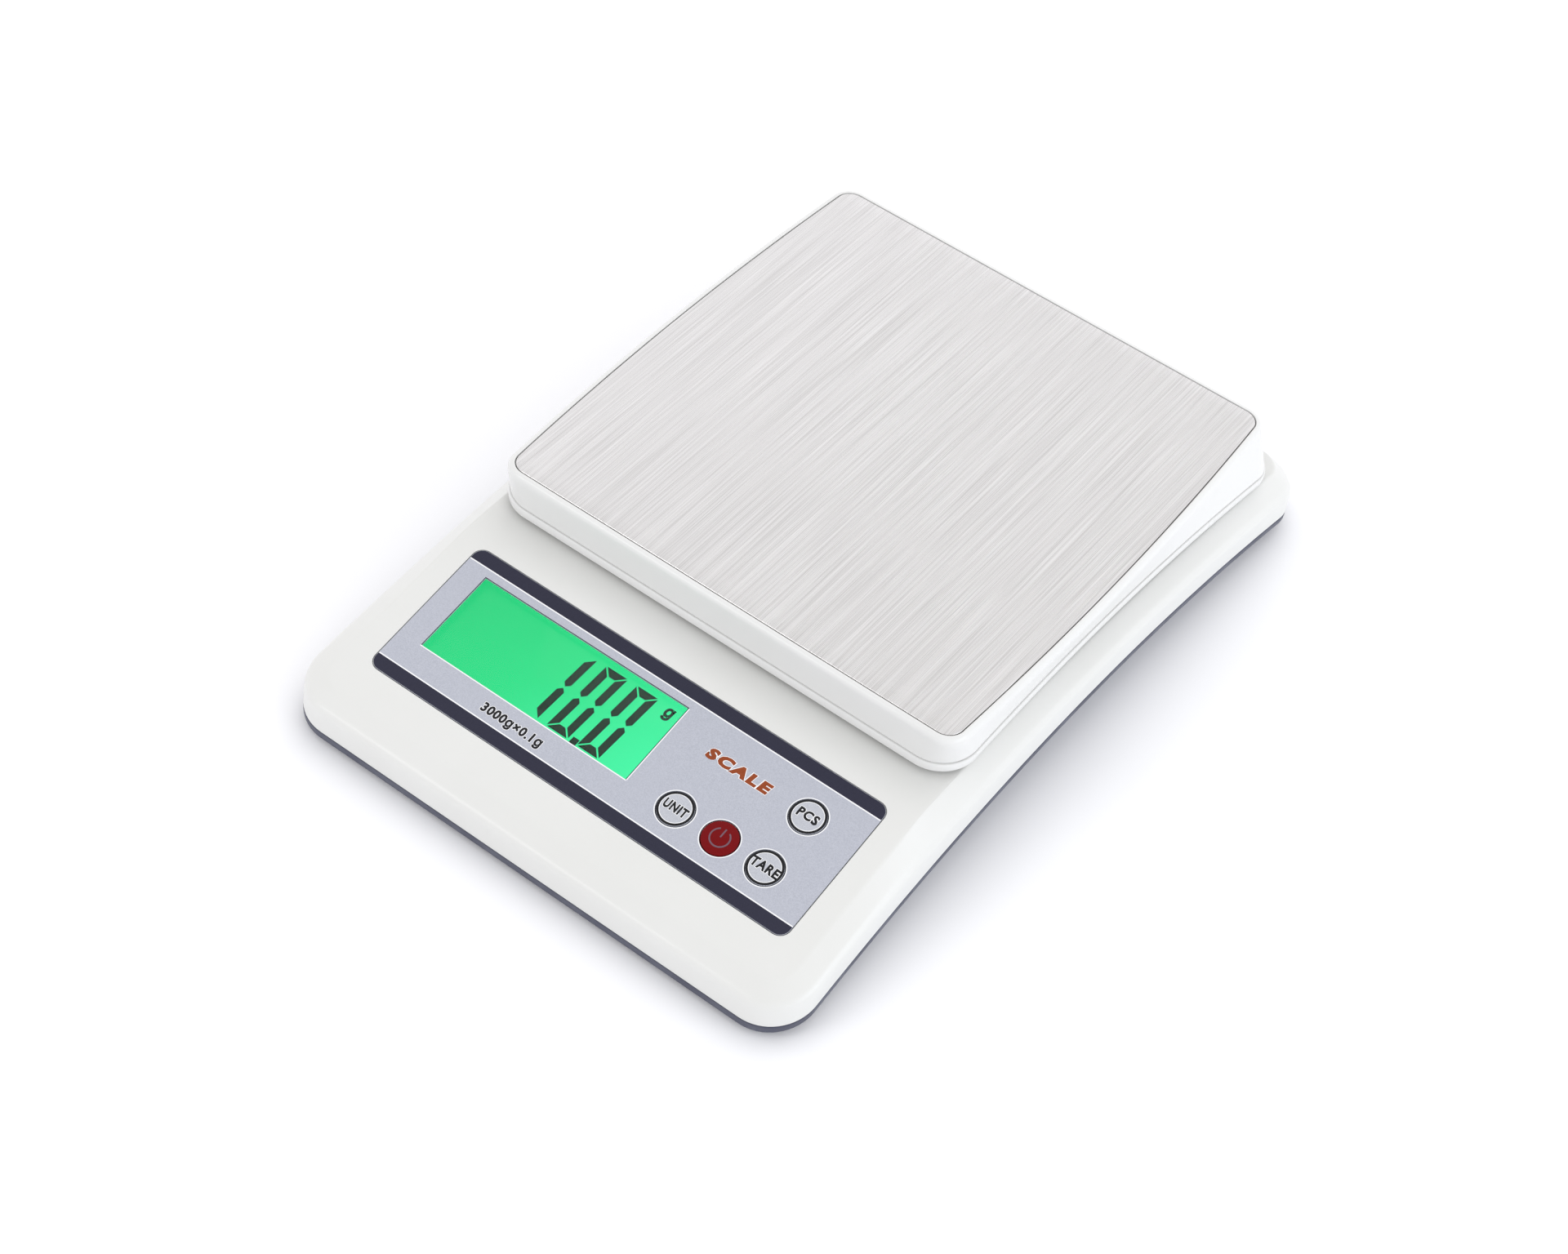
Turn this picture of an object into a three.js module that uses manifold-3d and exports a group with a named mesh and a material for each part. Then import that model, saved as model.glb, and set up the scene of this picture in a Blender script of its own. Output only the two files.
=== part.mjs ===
// Digital gram scale: arched two-part housing, tilted control panel, lift-off platter on a load cell.
// Millimetres, +Z up. Origin on the table under the middle of the housing; the panel faces -Y.
import * as THREE from 'three';
import { mergeVertices } from 'three/addons/utils/BufferGeometryUtils.js';
import Module from 'manifold-3d';

const wasm = await Module();
wasm.setup();

// ---------------------------------------------------------------- driving dimensions

// General fits
const fit = 0.3;              // clearance between pieces that touch
const screwPlay = 0.3;        // radial clearance round a screw shank
const overcut = 1;            // how far a cutter runs past what it cuts

// Housing outline, seen from above
const bodyLength = 243.8;
const waistHalfWidth = 77.2;  // narrowest half width
const rearFlare = 4.3;        // extra half width at the back edge
const frontCornerRadius = 12.8;
const rearCornerRadius = 14;

// Housing section
const baseClearance = 1.6;    // table to the flat underside
const seamEndZ = 4.2;         // height of the seam at the front and back edges
const archRise = 11.2;        // how far the seam rises in the middle of each side
const shellWall = 2.2;
const deckThickness = 2.4;
const crestAboveSeam = 7.7;   // side wall height, seam to shoulder
const crestInset = 0.6;
const creaseInset = 6.4;      // where the sloped facet meets the deck
const lipHeight = 2.3;        // visible dark strip below the seam
const tubInset = 7;           // the flat-bottomed tub stands this far inside the outline
const floorThickness = 2;
const tongueHeight = 2.2;
const tongueThickness = 1.4;
const crestRound = 1.3;       // height of the rounding under the shoulder
const innerCreaseExtra = 1.2; // the hollow's crease, further in than the outer one
const waistSetback = 74.2;    // narrowest place, behind the front edge
const crownBeforeCell = 7.35; // highest place of the deck, in front of the load cell
const crownAboveCell = 6.7;   // deck crown above the load cell
const crownDropAtPanel = 0.87; // how far the crown falls towards the panel's back edge
const deckAboveCell = 0.7;    // deck's underside above the load cell's back end
const deckAboveBox = 0.9;     // deck's underside above the battery box

// Control panel
const panelTilt = 11.675 * Math.PI / 180;
const panelFrontMargin = 16.6; // body front edge to the overlay's front edge
const panelFrontZ = 16.96;
const panelSideMargin = 13.2;  // overlay edge to the waist
const panelDepth = 43.1;       // along the slope
const panelCornerRadius = 2.9;
const overlayThickness = 0.5;

// Display
const windowWidth = 64.6;
const windowDepth = 24.8;
const windowLeftMargin = 7.2;
const windowFrontMargin = 11.8;
const glassBorderX = 1.7;      // display glass beyond the window, each side
const glassBorderY = 2.1;
const glassThickness = 2;
const frameWall = 1.3;
const openingMargin = 0.8;     // opening in the deck round the window
const lensMargin = 0.5;        // lens beyond the window
const backlightThickness = 3.3;
const boardDepthBelowDeck = 9.4;
const boardThickness = 1.6;
const boardMarginX = 3;        // board edge inside the overlay edge
const boardMarginFront = 1.5;
const boardBackReach = 2.5;    // board edge beyond the overlay's back edge
const boardScrewHole = 1.5;    // radius
const boardScrewPilot = 1;
const boardBossRadius = 2.4;

// Keys
const keyRadius = 4.7;
const keyFlange = 1.2;         // flange under the deck, beyond the cap
const keySpacing = 1.6;        // between neighbouring flanges
const keyRowFront = 12.5;      // front key row, from the overlay's front edge
const keyRowBack = 29.6;
const lastKeyMargin = 14.6;    // last key centre to the overlay's right edge
const keyCrown = 0.6;          // dome height above the deck
const keyTravel = 0.4;
const keyStemRadius = 1.7;
const keyFlangeThickness = 0.8;
const keyFlangeGap = 0.5;      // flange below the deck
const switchSize = 6;
const switchHeight = 3.5;
const switchButtonRadius = 1.6;
const switchButtonHeight = 0.5;

// Platter
const plateHalfWidth = 68.4;   // at the corners
const plateBulge = 2.4;        // extra half width in the middle
const plateCornerRadius = 4.5;
const plateThickness = 1;
const plateToPanel = 15.7;     // overlay's back edge to the plate, along Y
const plateToRear = 19.8;      // plate to the housing's back edge
const adhesiveThickness = 0.3;
const rimWidth = 2.1;
const trayTopThickness = 2.4;
const trayWall = 2.2;
const traySideInset = 5.2;     // skirt's lower edge inside the housing outline
const trayRearReach = 8.3;     // skirt's lower edge behind the plate
const skirtAboveSeam = 14.7;
const skirtClearance = 1.5;
const skirtFrontReach = 2.5;   // skirt's lower edge in front of the plate
const ledgeHeight = 2.4;       // straight band at the skirt's lower edge
const socketWall = 2.4;        // round a pad
const socketPlay = 0.4;
const skirtFrontRadius = 11;
const skirtRearRadius = 13;

// Load cell, spacers and carrier
const cellLength = 80;
const cellSection = 12.7;
const cellHoleMargin = 5;
const cellHolePitch = 15;
const cellWindowRadius = 4.3;
const cellWindowSpan = 17;
const cellSlotHeight = 3;
const cellPadHeight = 2;
const cellSpacerHeight = 2;
const carrierAboveCrown = 3.2;
const carrierThickness = 3;
const carrierArmWidth = 12;
const carrierTipRadius = 8;
const carrierHubWidth = 32;
const carrierHubLength = 28;
const spacerMargin = 5;        // spacer beyond its bolts
const spacerOpeningWidth = 20;
const padRadius = 5;
const padHeight = 4;
const padMarginX = 20.8;       // pad centre inside the plate's corner half width
const padMarginY = 28.7;
const overloadGap = 1;         // stop pegs above the deck
const stopRadius = 3;

// Battery box
const cellRadiusAaa = 5.25;
const cellLengthAaa = 44.5;
const cellCount = 3;
const batterySpacing = 0.5;    // between neighbouring cells
const boxWall = 1.5;
const boxRearMargin = 14.4;    // box inside to the housing's back edge
const boxFrontRoom = 2.2;      // room for the door's tongues in front of the first cell
const boxRearRoom = 0.8;
const boxToLoadCell = 3.15;
const buttonGap = 0.9;         // button end to the contact plate
const springReach = 6.7;
const contactThickness = 0.5;
const contactHeight = 8;
const tabWidth = 2.4;
const tabHeight = 1.8;
const wireSlotWidth = 3.6;
const wireSlotHeight = 3;
const buttonRadius = 1.9;
const buttonHeight = 1;
const doorThickness = 1.6;

// Fasteners and feet
const screwRadius = 1.4;
const screwHeadRadius = 3;
const bossRadius = 4.5;
const shellBossRadius = 3.1;
const footRadius = 6.5;
const footRecess = 0.6;
const footBevel = 0.6;
const footMarginX = 17;        // foot centre inside the waist
const footMarginY = 17.9;      // foot centre inside the front and back edges
const caseScrewMargin = 12.4;  // case screw inside the waist
const frontScrewSetback = 21.3; // behind the overlay's front edge
const middleScrewOffset = 7;   // in front of the plate's middle
const rearScrewSetback = 32;   // in front of the back edge
const boardScrewMarginX = 7;   // board screw inside the overlay's side
const boardScrewFront = 4.4;
const boardScrewInset = 0.2;   // rear board screws, in front of the overlay's back edge

// ---------------------------------------------------------------- derived places

const bodyFront = -bodyLength / 2;
const bodyBack = bodyLength / 2;
const waistY = bodyFront + waistSetback;
const panelFrontY = bodyFront + panelFrontMargin;
const panelHalfWidth = waistHalfWidth - panelSideMargin;
const panelBackY = panelFrontY + panelDepth * Math.cos(panelTilt);
const plateFront = panelBackY + plateToPanel;
const plateBack = bodyBack - plateToRear;
const plateMiddle = (plateFront + plateBack) / 2;
const tubFloorZ = baseClearance + floorThickness;

const cellPitchAaa = 2 * cellRadiusAaa + batterySpacing;
const boxDepth = boxFrontRoom + (cellCount - 1) * cellPitchAaa + 2 * cellRadiusAaa + boxRearRoom;
const boxBack = bodyBack - boxRearMargin;
const boxFront = boxBack - boxDepth;
const boxHalfWidth = (cellLengthAaa + springReach + 2 * (contactThickness + fit) + buttonGap + fit) / 2;
const cellRestZ = baseClearance + doorThickness + 2 * fit;
const boxCeilingZ = cellRestZ + 2 * cellRadiusAaa + fit;
const boxTopZ = boxCeilingZ + boxWall;

const cellBack = boxFront - boxWall - boxToLoadCell;
const cellFront = cellBack - cellLength;
const cellBottomZ = tubFloorZ + cellPadHeight + cellSpacerHeight;
const cellTopZ = cellBottomZ + cellSection;
const deckCrownY = cellFront - crownBeforeCell;
const deckCrownZ = cellTopZ + crownAboveCell;
const carrierBottomZ = deckCrownZ + carrierAboveCrown;
const carrierTopZ = carrierBottomZ + carrierThickness;
const trayCeilingZ = carrierTopZ + padHeight;
const trayFloorZ = trayCeilingZ + trayTopThickness;
const plateBottomZ = trayFloorZ + adhesiveThickness;
const plateTopZ = plateBottomZ + plateThickness;

const dropAtCell = deckCrownZ - (cellTopZ + deckAboveCell + deckThickness);
const dropAtBox = deckCrownZ - (boxTopZ + deckAboveBox + deckThickness);
const frontCurve = crownDropAtPanel / (deckCrownY - panelBackY) ** 2;
const rearCurve = Math.min(
  dropAtCell / (cellBack - deckCrownY) ** 2,
  dropAtBox / (boxBack - deckCrownY) ** 2,
);
const deckBlend = 0.25;

// Panel coordinates: x across, v up the slope from the overlay's front edge, s along the normal.
const panelMatrix = new THREE.Matrix4().makeRotationX(panelTilt);
panelMatrix.setPosition(0, panelFrontY, panelFrontZ);

const windowLeft = -panelHalfWidth + windowLeftMargin;
const windowRight = windowLeft + windowWidth;
const windowBack = windowFrontMargin + windowDepth;
const lensTop = -overlayThickness - fit;
const glassTop = -deckThickness - fit;
const glassBottom = glassTop - glassThickness;
const keyPitch = 2 * (keyRadius + keyFlange) + keySpacing;
const boardTop = -boardDepthBelowDeck;
const boardBottom = boardTop - boardThickness;
const lastKeyX = panelHalfWidth - lastKeyMargin;
const keys = {
  unit: [lastKeyX - 2 * keyPitch, keyRowFront],
  power: [lastKeyX - keyPitch, keyRowFront],
  tare: [lastKeyX, keyRowFront],
  pcs: [lastKeyX, keyRowBack],
};
const boardScrewX = panelHalfWidth - boardScrewMarginX;
const boardScrewBack = panelDepth - boardScrewInset;
const boardScrews = [
  [-boardScrewX, boardScrewFront],
  [boardScrewX, boardScrewFront],
  [-boardScrewX, boardScrewBack],
  [boardScrewX, boardScrewBack],
];

const caseBossTopZ = 9;
const caseScrewSeatZ = baseClearance + 2.6;
const caseScrewTipZ = 14;
const caseScrewX = waistHalfWidth - caseScrewMargin;
const caseScrewRows = {
  front: panelFrontY + frontScrewSetback,
  middle: plateMiddle - middleScrewOffset,
  rear: bodyBack - rearScrewSetback,
};
const feetX = waistHalfWidth - footMarginX;
const feetY = bodyLength / 2 - footMarginY;

// ---------------------------------------------------------------- materials

const finishes = {
  shell: { color: 0xe8e8e4, roughness: 0.35, metalness: 0 },
  tray: { color: 0xececea, roughness: 0.25, metalness: 0 },
  base: { color: 0x3b3f52, roughness: 0.55, metalness: 0 },
  steel: { color: 0xc9c7c5, roughness: 0.3, metalness: 1 },
  overlay: { color: 0xb6bac6, roughness: 0.4, metalness: 0.2 },
  lens: { color: 0xdfeee6, roughness: 0.05, metalness: 0 },
  display: { color: 0x3fd98c, roughness: 0.15, metalness: 0 },
  backlight: { color: 0x9df5c8, roughness: 0.4, metalness: 0 },
  key: { color: 0xc3c6cf, roughness: 0.4, metalness: 0.1 },
  powerKey: { color: 0x7c1418, roughness: 0.35, metalness: 0 },
  board: { color: 0x1f6b3a, roughness: 0.5, metalness: 0 },
  chip: { color: 0x1b1b1d, roughness: 0.45, metalness: 0 },
  frame: { color: 0xd9d9d6, roughness: 0.5, metalness: 0 },
  elastomer: { color: 0xd98aa0, roughness: 0.7, metalness: 0 },
  aluminium: { color: 0xb9bcc0, roughness: 0.35, metalness: 1 },
  screw: { color: 0xa8aaad, roughness: 0.3, metalness: 1 },
  contact: { color: 0xcfd0cc, roughness: 0.3, metalness: 1 },
  battery: { color: 0x2c4f8c, roughness: 0.35, metalness: 0.4 },
  rubber: { color: 0x26272b, roughness: 0.8, metalness: 0 },
  carrier: { color: 0xd4d5d2, roughness: 0.5, metalness: 0 },
  adhesive: { color: 0xe6e2d6, roughness: 0.7, metalness: 0 },
  redLead: { color: 0xb3201f, roughness: 0.5, metalness: 0 },
  blackLead: { color: 0x1c1c1e, roughness: 0.5, metalness: 0 },
  greyLead: { color: 0x8d8f94, roughness: 0.5, metalness: 0 },
};

// ---------------------------------------------------------------- solid helpers

function toSolid(geometry) {
  const bare = geometry.clone();
  bare.deleteAttribute('normal');
  bare.deleteAttribute('uv');
  const merged = mergeVertices(bare, 1e-4);
  const vertProperties = Float32Array.from(merged.attributes.position.array);
  const triVerts = Uint32Array.from(merged.index.array);
  return new wasm.Manifold(new wasm.Mesh({ numProp: 3, vertProperties, triVerts }));
}

function toGeometry(solid) {
  const { vertProperties, triVerts } = solid.getMesh();
  const geometry = new THREE.BufferGeometry();
  geometry.setAttribute('position', new THREE.Float32BufferAttribute(vertProperties, 3));
  geometry.setIndex(Array.from(triVerts));
  geometry.computeVertexNormals();
  return geometry;
}

function joinAll(base, pieces) {
  return pieces.reduce((solid, piece) => solid.add(toSolid(piece)), base);
}

function cutAll(base, pieces) {
  return pieces.reduce((solid, piece) => solid.subtract(toSolid(piece)), base);
}

function block([x0, x1], [y0, y1], [z0, z1]) {
  const geometry = new THREE.BoxGeometry(x1 - x0, y1 - y0, z1 - z0);
  return geometry.translate((x0 + x1) / 2, (y0 + y1) / 2, (z0 + z1) / 2);
}

function rod(radius, [x, y], [z0, z1], sides = 14) {
  const geometry = new THREE.CylinderGeometry(radius, radius, z1 - z0, sides);
  return geometry.rotateX(Math.PI / 2).translate(x, y, (z0 + z1) / 2);
}

// A turned piece about +Z from [radius, height] pairs listed upwards.
function turned(profile, sides = 18) {
  const points = profile.map(([radius, height]) => new THREE.Vector2(radius, height));
  return new THREE.LatheGeometry(points, sides).rotateX(Math.PI / 2);
}

function roundedPlate([x0, x1], [y0, y1], radius, [z0, z1]) {
  const shape = new THREE.Shape();
  shape.moveTo(x0 + radius, y0);
  shape.lineTo(x1 - radius, y0);
  shape.absarc(x1 - radius, y0 + radius, radius, -Math.PI / 2, 0);
  shape.lineTo(x1, y1 - radius);
  shape.absarc(x1 - radius, y1 - radius, radius, 0, Math.PI / 2);
  shape.lineTo(x0 + radius, y1);
  shape.absarc(x0 + radius, y1 - radius, radius, Math.PI / 2, Math.PI);
  shape.lineTo(x0, y0 + radius);
  shape.absarc(x0 + radius, y0 + radius, radius, Math.PI, 1.5 * Math.PI);
  const options = { depth: z1 - z0, bevelEnabled: false, curveSegments: 4 };
  return new THREE.ExtrudeGeometry(shape, options).translate(0, 0, z0);
}

function onPanel(geometry) {
  return geometry.applyMatrix4(panelMatrix);
}

// ---------------------------------------------------------------- outlines and ring solids

// Outlines run from the front edge round the right side to the back edge; the left side mirrors them.
const cornerSteps = 4;

function halfOutline(outline, inset) {
  const frontRadius = Math.max(outline.frontRadius - inset, 1);
  const rearRadius = Math.max(outline.rearRadius - inset, 1);
  const startY = outline.front + inset + frontRadius;
  const endY = outline.back - inset - rearRadius;
  const points = [];
  const corner = (centreX, centreY, radius, startAngle) => {
    for (let step = 0; step <= cornerSteps; step += 1) {
      const angle = startAngle + (step / cornerSteps) * Math.PI / 2;
      points.push([centreX + radius * Math.cos(angle), centreY + radius * Math.sin(angle)]);
    }
  };
  corner(outline.halfWidth(startY) - inset - frontRadius, startY, frontRadius, -Math.PI / 2);
  for (const share of outline.stations) {
    const y = startY + share * (endY - startY);
    points.push([outline.halfWidth(y) - inset, y]);
  }
  corner(outline.halfWidth(endY) - inset - rearRadius, endY, rearRadius, 0);
  return points;
}

function evenStations(count) {
  return Array.from({ length: count - 1 }, (_, index) => (index + 1) / count);
}

// The sides of the housing get a station just behind the panel, where the deck rolls over.
const rollShare = (panelBackY + 2 - bodyFront - frontCornerRadius)
  / (bodyLength - frontCornerRadius - rearCornerRadius);
const bodyStations = [
  ...evenStations(3).map((share) => share * rollShare),
  rollShare,
  ...evenStations(12).map((share) => rollShare + share * (1 - rollShare)),
];

function ring(outline, inset, height) {
  return halfOutline(outline, inset).map(([x, y]) => [x, y, height(y)]);
}

// Joins rings into one closed solid. The first ring is capped facing down, the last facing up.
function ringSolid(rings) {
  const size = rings[0].length;
  const positions = [];
  const indices = [];
  for (const half of rings) {
    half.forEach(([x, y, z]) => positions.push(x, y, z));
    half.toReversed().forEach(([x, y, z]) => positions.push(-x, y, z));
  }
  const loop = 2 * size;
  const left = (ringIndex, index) => ringIndex * loop + loop - 1 - index;
  const right = (ringIndex, index) => ringIndex * loop + index;
  const quad = (a, b, c, d) => indices.push(a, b, c, a, c, d);
  const last = rings.length - 1;
  for (let index = 0; index < size - 1; index += 1) {
    quad(left(0, index), left(0, index + 1), right(0, index + 1), right(0, index));
    quad(left(last, index), right(last, index), right(last, index + 1), left(last, index + 1));
  }
  for (let level = 0; level < last; level += 1) {
    for (let index = 0; index < loop; index += 1) {
      const next = (index + 1) % loop;
      const low = level * loop;
      const high = low + loop;
      quad(low + index, low + next, high + next, high + index);
    }
  }
  const geometry = new THREE.BufferGeometry();
  geometry.setAttribute('position', new THREE.Float32BufferAttribute(positions, 3));
  geometry.setIndex(indices);
  return geometry;
}

const taper = rearFlare / (bodyBack - waistY) ** 2;
const bodyHalfWidth = (y) => waistHalfWidth + taper * (y - waistY) ** 2;
const level = (z) => () => z;
const seamZ = (y) => seamEndZ + archRise * (1 - (y / bodyBack) ** 2);
const panelPlaneZ = (y) => panelFrontZ + Math.tan(panelTilt) * (y - panelFrontY);

function crownZ(y) {
  const curve = y < deckCrownY ? frontCurve : rearCurve;
  return deckCrownZ - curve * (y - deckCrownY) ** 2;
}

// The deck follows the panel's plane, then rolls over into the crown.
function deckZ(y) {
  const plane = panelPlaneZ(y);
  const crown = crownZ(y);
  const gap = Math.abs(plane - crown);
  return Math.min(plane, crown) - deckBlend * Math.log(1 + Math.exp(-gap / deckBlend));
}

const bodyOutline = {
  front: bodyFront,
  back: bodyBack,
  halfWidth: bodyHalfWidth,
  frontRadius: frontCornerRadius,
  rearRadius: rearCornerRadius,
  stations: bodyStations,
};

const plateOutline = {
  front: plateFront,
  back: plateBack,
  halfWidth: (y) => {
    const share = (y - plateMiddle) / ((plateBack - plateFront) / 2);
    return plateHalfWidth + plateBulge * (1 - share ** 2);
  },
  frontRadius: plateCornerRadius,
  rearRadius: plateCornerRadius,
  stations: evenStations(10),
};

const skirtOutline = {
  front: plateFront - skirtFrontReach,
  back: plateBack + trayRearReach,
  halfWidth: (y) => bodyHalfWidth(y) - traySideInset,
  frontRadius: skirtFrontRadius,
  rearRadius: skirtRearRadius,
  stations: evenStations(10),
};

const skirtZ = (y) => Math.max(seamZ(y) + skirtAboveSeam, deckZ(y) + skirtClearance);

// ---------------------------------------------------------------- housing

const shellSeam = (y) => seamZ(y) + fit / 2;
const baseSeam = (y) => seamZ(y) - fit / 2;
const crestZ = (y) => seamZ(y) + crestAboveSeam;

function facetZ(inset) {
  const share = (inset - crestInset) / (creaseInset - crestInset);
  return (y) => crestZ(y) + share * (deckZ(y) - crestZ(y));
}

function shellBlank() {
  const innerCrease = creaseInset + innerCreaseExtra;
  const innerWall = shellWall + 0.7;
  return ringSolid([
    ring(bodyOutline, innerCrease, (y) => deckZ(y) - deckThickness),
    ring(bodyOutline, innerWall, (y) => crestZ(y) - 2),
    ring(bodyOutline, shellWall, (y) => shellSeam(y) + tongueHeight + 1),
    ring(bodyOutline, shellWall, shellSeam),
    ring(bodyOutline, 0, shellSeam),
    ring(bodyOutline, crestInset * 0.6, (y) => crestZ(y) - crestRound),
    ring(bodyOutline, crestInset * 1.5, (y) => crestZ(y) - 0.1),
    ring(bodyOutline, crestInset * 3.5, facetZ(crestInset * 3.5)),
    ring(bodyOutline, creaseInset, deckZ),
  ]);
}

function topShell() {
  const bosses = [];
  const holes = [];
  for (const side of [-1, 1]) {
    for (const y of Object.values(caseScrewRows)) {
      const at = [side * caseScrewX, y];
      bosses.push(rod(shellBossRadius, at, [caseBossTopZ + fit, deckZ(y) - deckThickness / 2]));
      holes.push(rod(screwRadius + screwPlay, at, [0, caseScrewTipZ + fit]));
    }
  }
  for (const at of boardScrews) {
    bosses.push(onPanel(rod(boardBossRadius, at, [boardTop + fit, -deckThickness / 2])));
    holes.push(onPanel(rod(boardScrewPilot, at, [boardBottom, boardTop + 4.5])));
  }
  const recessX = [-panelHalfWidth - fit, panelHalfWidth + fit];
  const recess = [-overlayThickness - fit, 4];
  holes.push(onPanel(roundedPlate(recessX, [-fit, panelDepth + fit], panelCornerRadius, recess)));
  const openingX = [windowLeft - openingMargin, windowRight + openingMargin];
  const openingY = [windowFrontMargin - openingMargin, windowBack + openingMargin];
  holes.push(onPanel(block(openingX, openingY, [-deckThickness - overcut, overcut])));
  for (const at of Object.values(keys)) {
    holes.push(onPanel(rod(keyRadius + fit, at, [-deckThickness - overcut, overcut], 20)));
  }
  const spacerOpening = [carrierBoltYs[0] - spacerMargin - 2, carrierBoltYs[1] + spacerMargin + 2.5];
  const halfOpening = spacerOpeningWidth / 2;
  holes.push(block([-halfOpening, halfOpening], spacerOpening, [cellTopZ, deckCrownZ + overcut]));
  const shell = joinAll(toSolid(shellBlank()), bosses);
  return toGeometry(cutAll(shell, holes));
}

function baseBlank() {
  const lipBottom = (y) => baseSeam(y) - lipHeight;
  const flangeTop = (y) => lipBottom(y) + floorThickness - 0.1;
  const tongueOuter = shellWall + fit;
  const tongueInner = tongueOuter + tongueThickness;
  const tongueTop = (y) => baseSeam(y) + tongueHeight;
  return ringSolid([
    ring(bodyOutline, tubInset + 0.4, level(baseClearance)),
    ring(bodyOutline, tubInset, level(baseClearance + 0.1)),
    ring(bodyOutline, tubInset, lipBottom),
    ring(bodyOutline, 0.5, lipBottom),
    ring(bodyOutline, 0, (y) => lipBottom(y) + 0.5),
    ring(bodyOutline, 0, baseSeam),
    ring(bodyOutline, tongueOuter, baseSeam),
    ring(bodyOutline, tongueOuter, tongueTop),
    ring(bodyOutline, tongueInner, tongueTop),
    ring(bodyOutline, tongueInner, flangeTop),
    ring(bodyOutline, tubInset + shellWall, flangeTop),
    ring(bodyOutline, tubInset + shellWall + 0.2, level(tubFloorZ)),
  ]);
}

const boxX = [-boxHalfWidth, boxHalfWidth];
const boxY = [boxFront, boxBack];
const tongueX = 14;
const tongueWidth = 8;
const latchWidth = 10;
const cellBoltYs = [cellFront + cellHoleMargin, cellFront + cellHoleMargin + cellHolePitch];
const carrierBoltYs = [cellBack - cellHoleMargin - cellHolePitch, cellBack - cellHoleMargin];
const boltRadius = 1.9;
const boltHeadRadius = 3.4;
const boltSeatZ = baseClearance + 2.4;
const positiveLeadY = boxFront + boxFrontRoom + cellRadiusAaa;
const negativeLeadY = positiveLeadY + (cellCount - 1) * cellPitchAaa;
const cellMidZ = cellRestZ + cellRadiusAaa;

function bottomShell() {
  const floor = [baseClearance + 0.5, tubFloorZ + cellPadHeight];
  const posts = [
    block([-boxHalfWidth - boxWall, boxHalfWidth + boxWall],
      [boxFront - boxWall, boxBack + boxWall], [baseClearance + 0.2, boxTopZ]),
    block([-cellSection / 2 - 4, cellSection / 2 + 4],
      [cellFront - 3, cellBoltYs[1] + 6], floor),
  ];
  const holes = [
    block(boxX, boxY, [0, boxCeilingZ]),
    block([-latchWidth / 2, latchWidth / 2], [boxBack - 1, boxBack + 2], [0, tubFloorZ - 1]),
  ];
  for (const side of [-1, 1]) {
    for (const y of Object.values(caseScrewRows)) {
      const at = [side * caseScrewX, y];
      posts.push(rod(bossRadius, at, [baseClearance + 0.3, caseBossTopZ]));
      holes.push(rod(screwHeadRadius + fit, at, [0, caseScrewSeatZ]));
      holes.push(rod(screwRadius + screwPlay, at, [0, caseBossTopZ + overcut]));
    }
    for (const y of [-feetY, feetY]) {
      holes.push(rod(footRadius + fit, [side * feetX, y], [0, baseClearance + footRecess], 20));
    }
    const tongueAt = [side * tongueX - tongueWidth / 2 - fit, side * tongueX + tongueWidth / 2 + fit];
    holes.push(block(tongueAt, [boxFront - boxWall - 1, boxFront + 1], [tubFloorZ, tubFloorZ + 3]));
  }
  const slot = [cellMidZ - wireSlotHeight / 2, cellMidZ + wireSlotHeight / 2];
  const slotReach = wireSlotWidth / 2;
  const rightWall = [boxHalfWidth - overcut, boxHalfWidth + boxWall + overcut];
  const leftWall = [-boxHalfWidth - boxWall - overcut, -boxHalfWidth + overcut];
  holes.push(block(rightWall, [positiveLeadY - slotReach, positiveLeadY + slotReach], slot));
  holes.push(block(leftWall, [negativeLeadY - slotReach, negativeLeadY + slotReach], slot));
  for (const y of cellBoltYs) {
    holes.push(rod(boltHeadRadius + fit, [0, y], [0, boltSeatZ]));
    holes.push(rod(boltRadius + screwPlay, [0, y], [0, cellBottomZ]));
  }
  const tub = joinAll(toSolid(baseBlank()), posts);
  return toGeometry(cutAll(tub, holes));
}

function foot() {
  return turned([
    [0, 0], [footRadius - footBevel, 0], [footRadius, footBevel],
    [footRadius, baseClearance + footRecess], [0, baseClearance + footRecess],
  ], 20);
}

// A pan-head screw pointing up, head underside at the seat level.
function screwUp(headRadius, shankRadius, seat, headHeight, tip) {
  return turned([
    [0, seat - headHeight], [headRadius * 0.7, seat - headHeight], [headRadius, seat - headHeight * 0.5],
    [headRadius, seat], [shankRadius, seat], [shankRadius, tip - 1], [0, tip],
  ], 12);
}

// ---------------------------------------------------------------- control panel

function panelOverlay() {
  const sheetX = [-panelHalfWidth, panelHalfWidth];
  const sheet = roundedPlate(sheetX, [0, panelDepth], panelCornerRadius, [-overlayThickness, 0]);
  const openings = [
    block([windowLeft, windowRight], [windowFrontMargin, windowBack], [-overlayThickness - overcut, overcut]),
  ];
  for (const at of Object.values(keys)) {
    openings.push(rod(keyRadius + fit, at, [-overlayThickness - overcut, overcut], 20));
  }
  return toGeometry(cutAll(toSolid(sheet), openings));
}

function displayLens() {
  return block([windowLeft - lensMargin, windowRight + lensMargin],
    [windowFrontMargin - lensMargin, windowBack + lensMargin], [-deckThickness, lensTop]);
}

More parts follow.
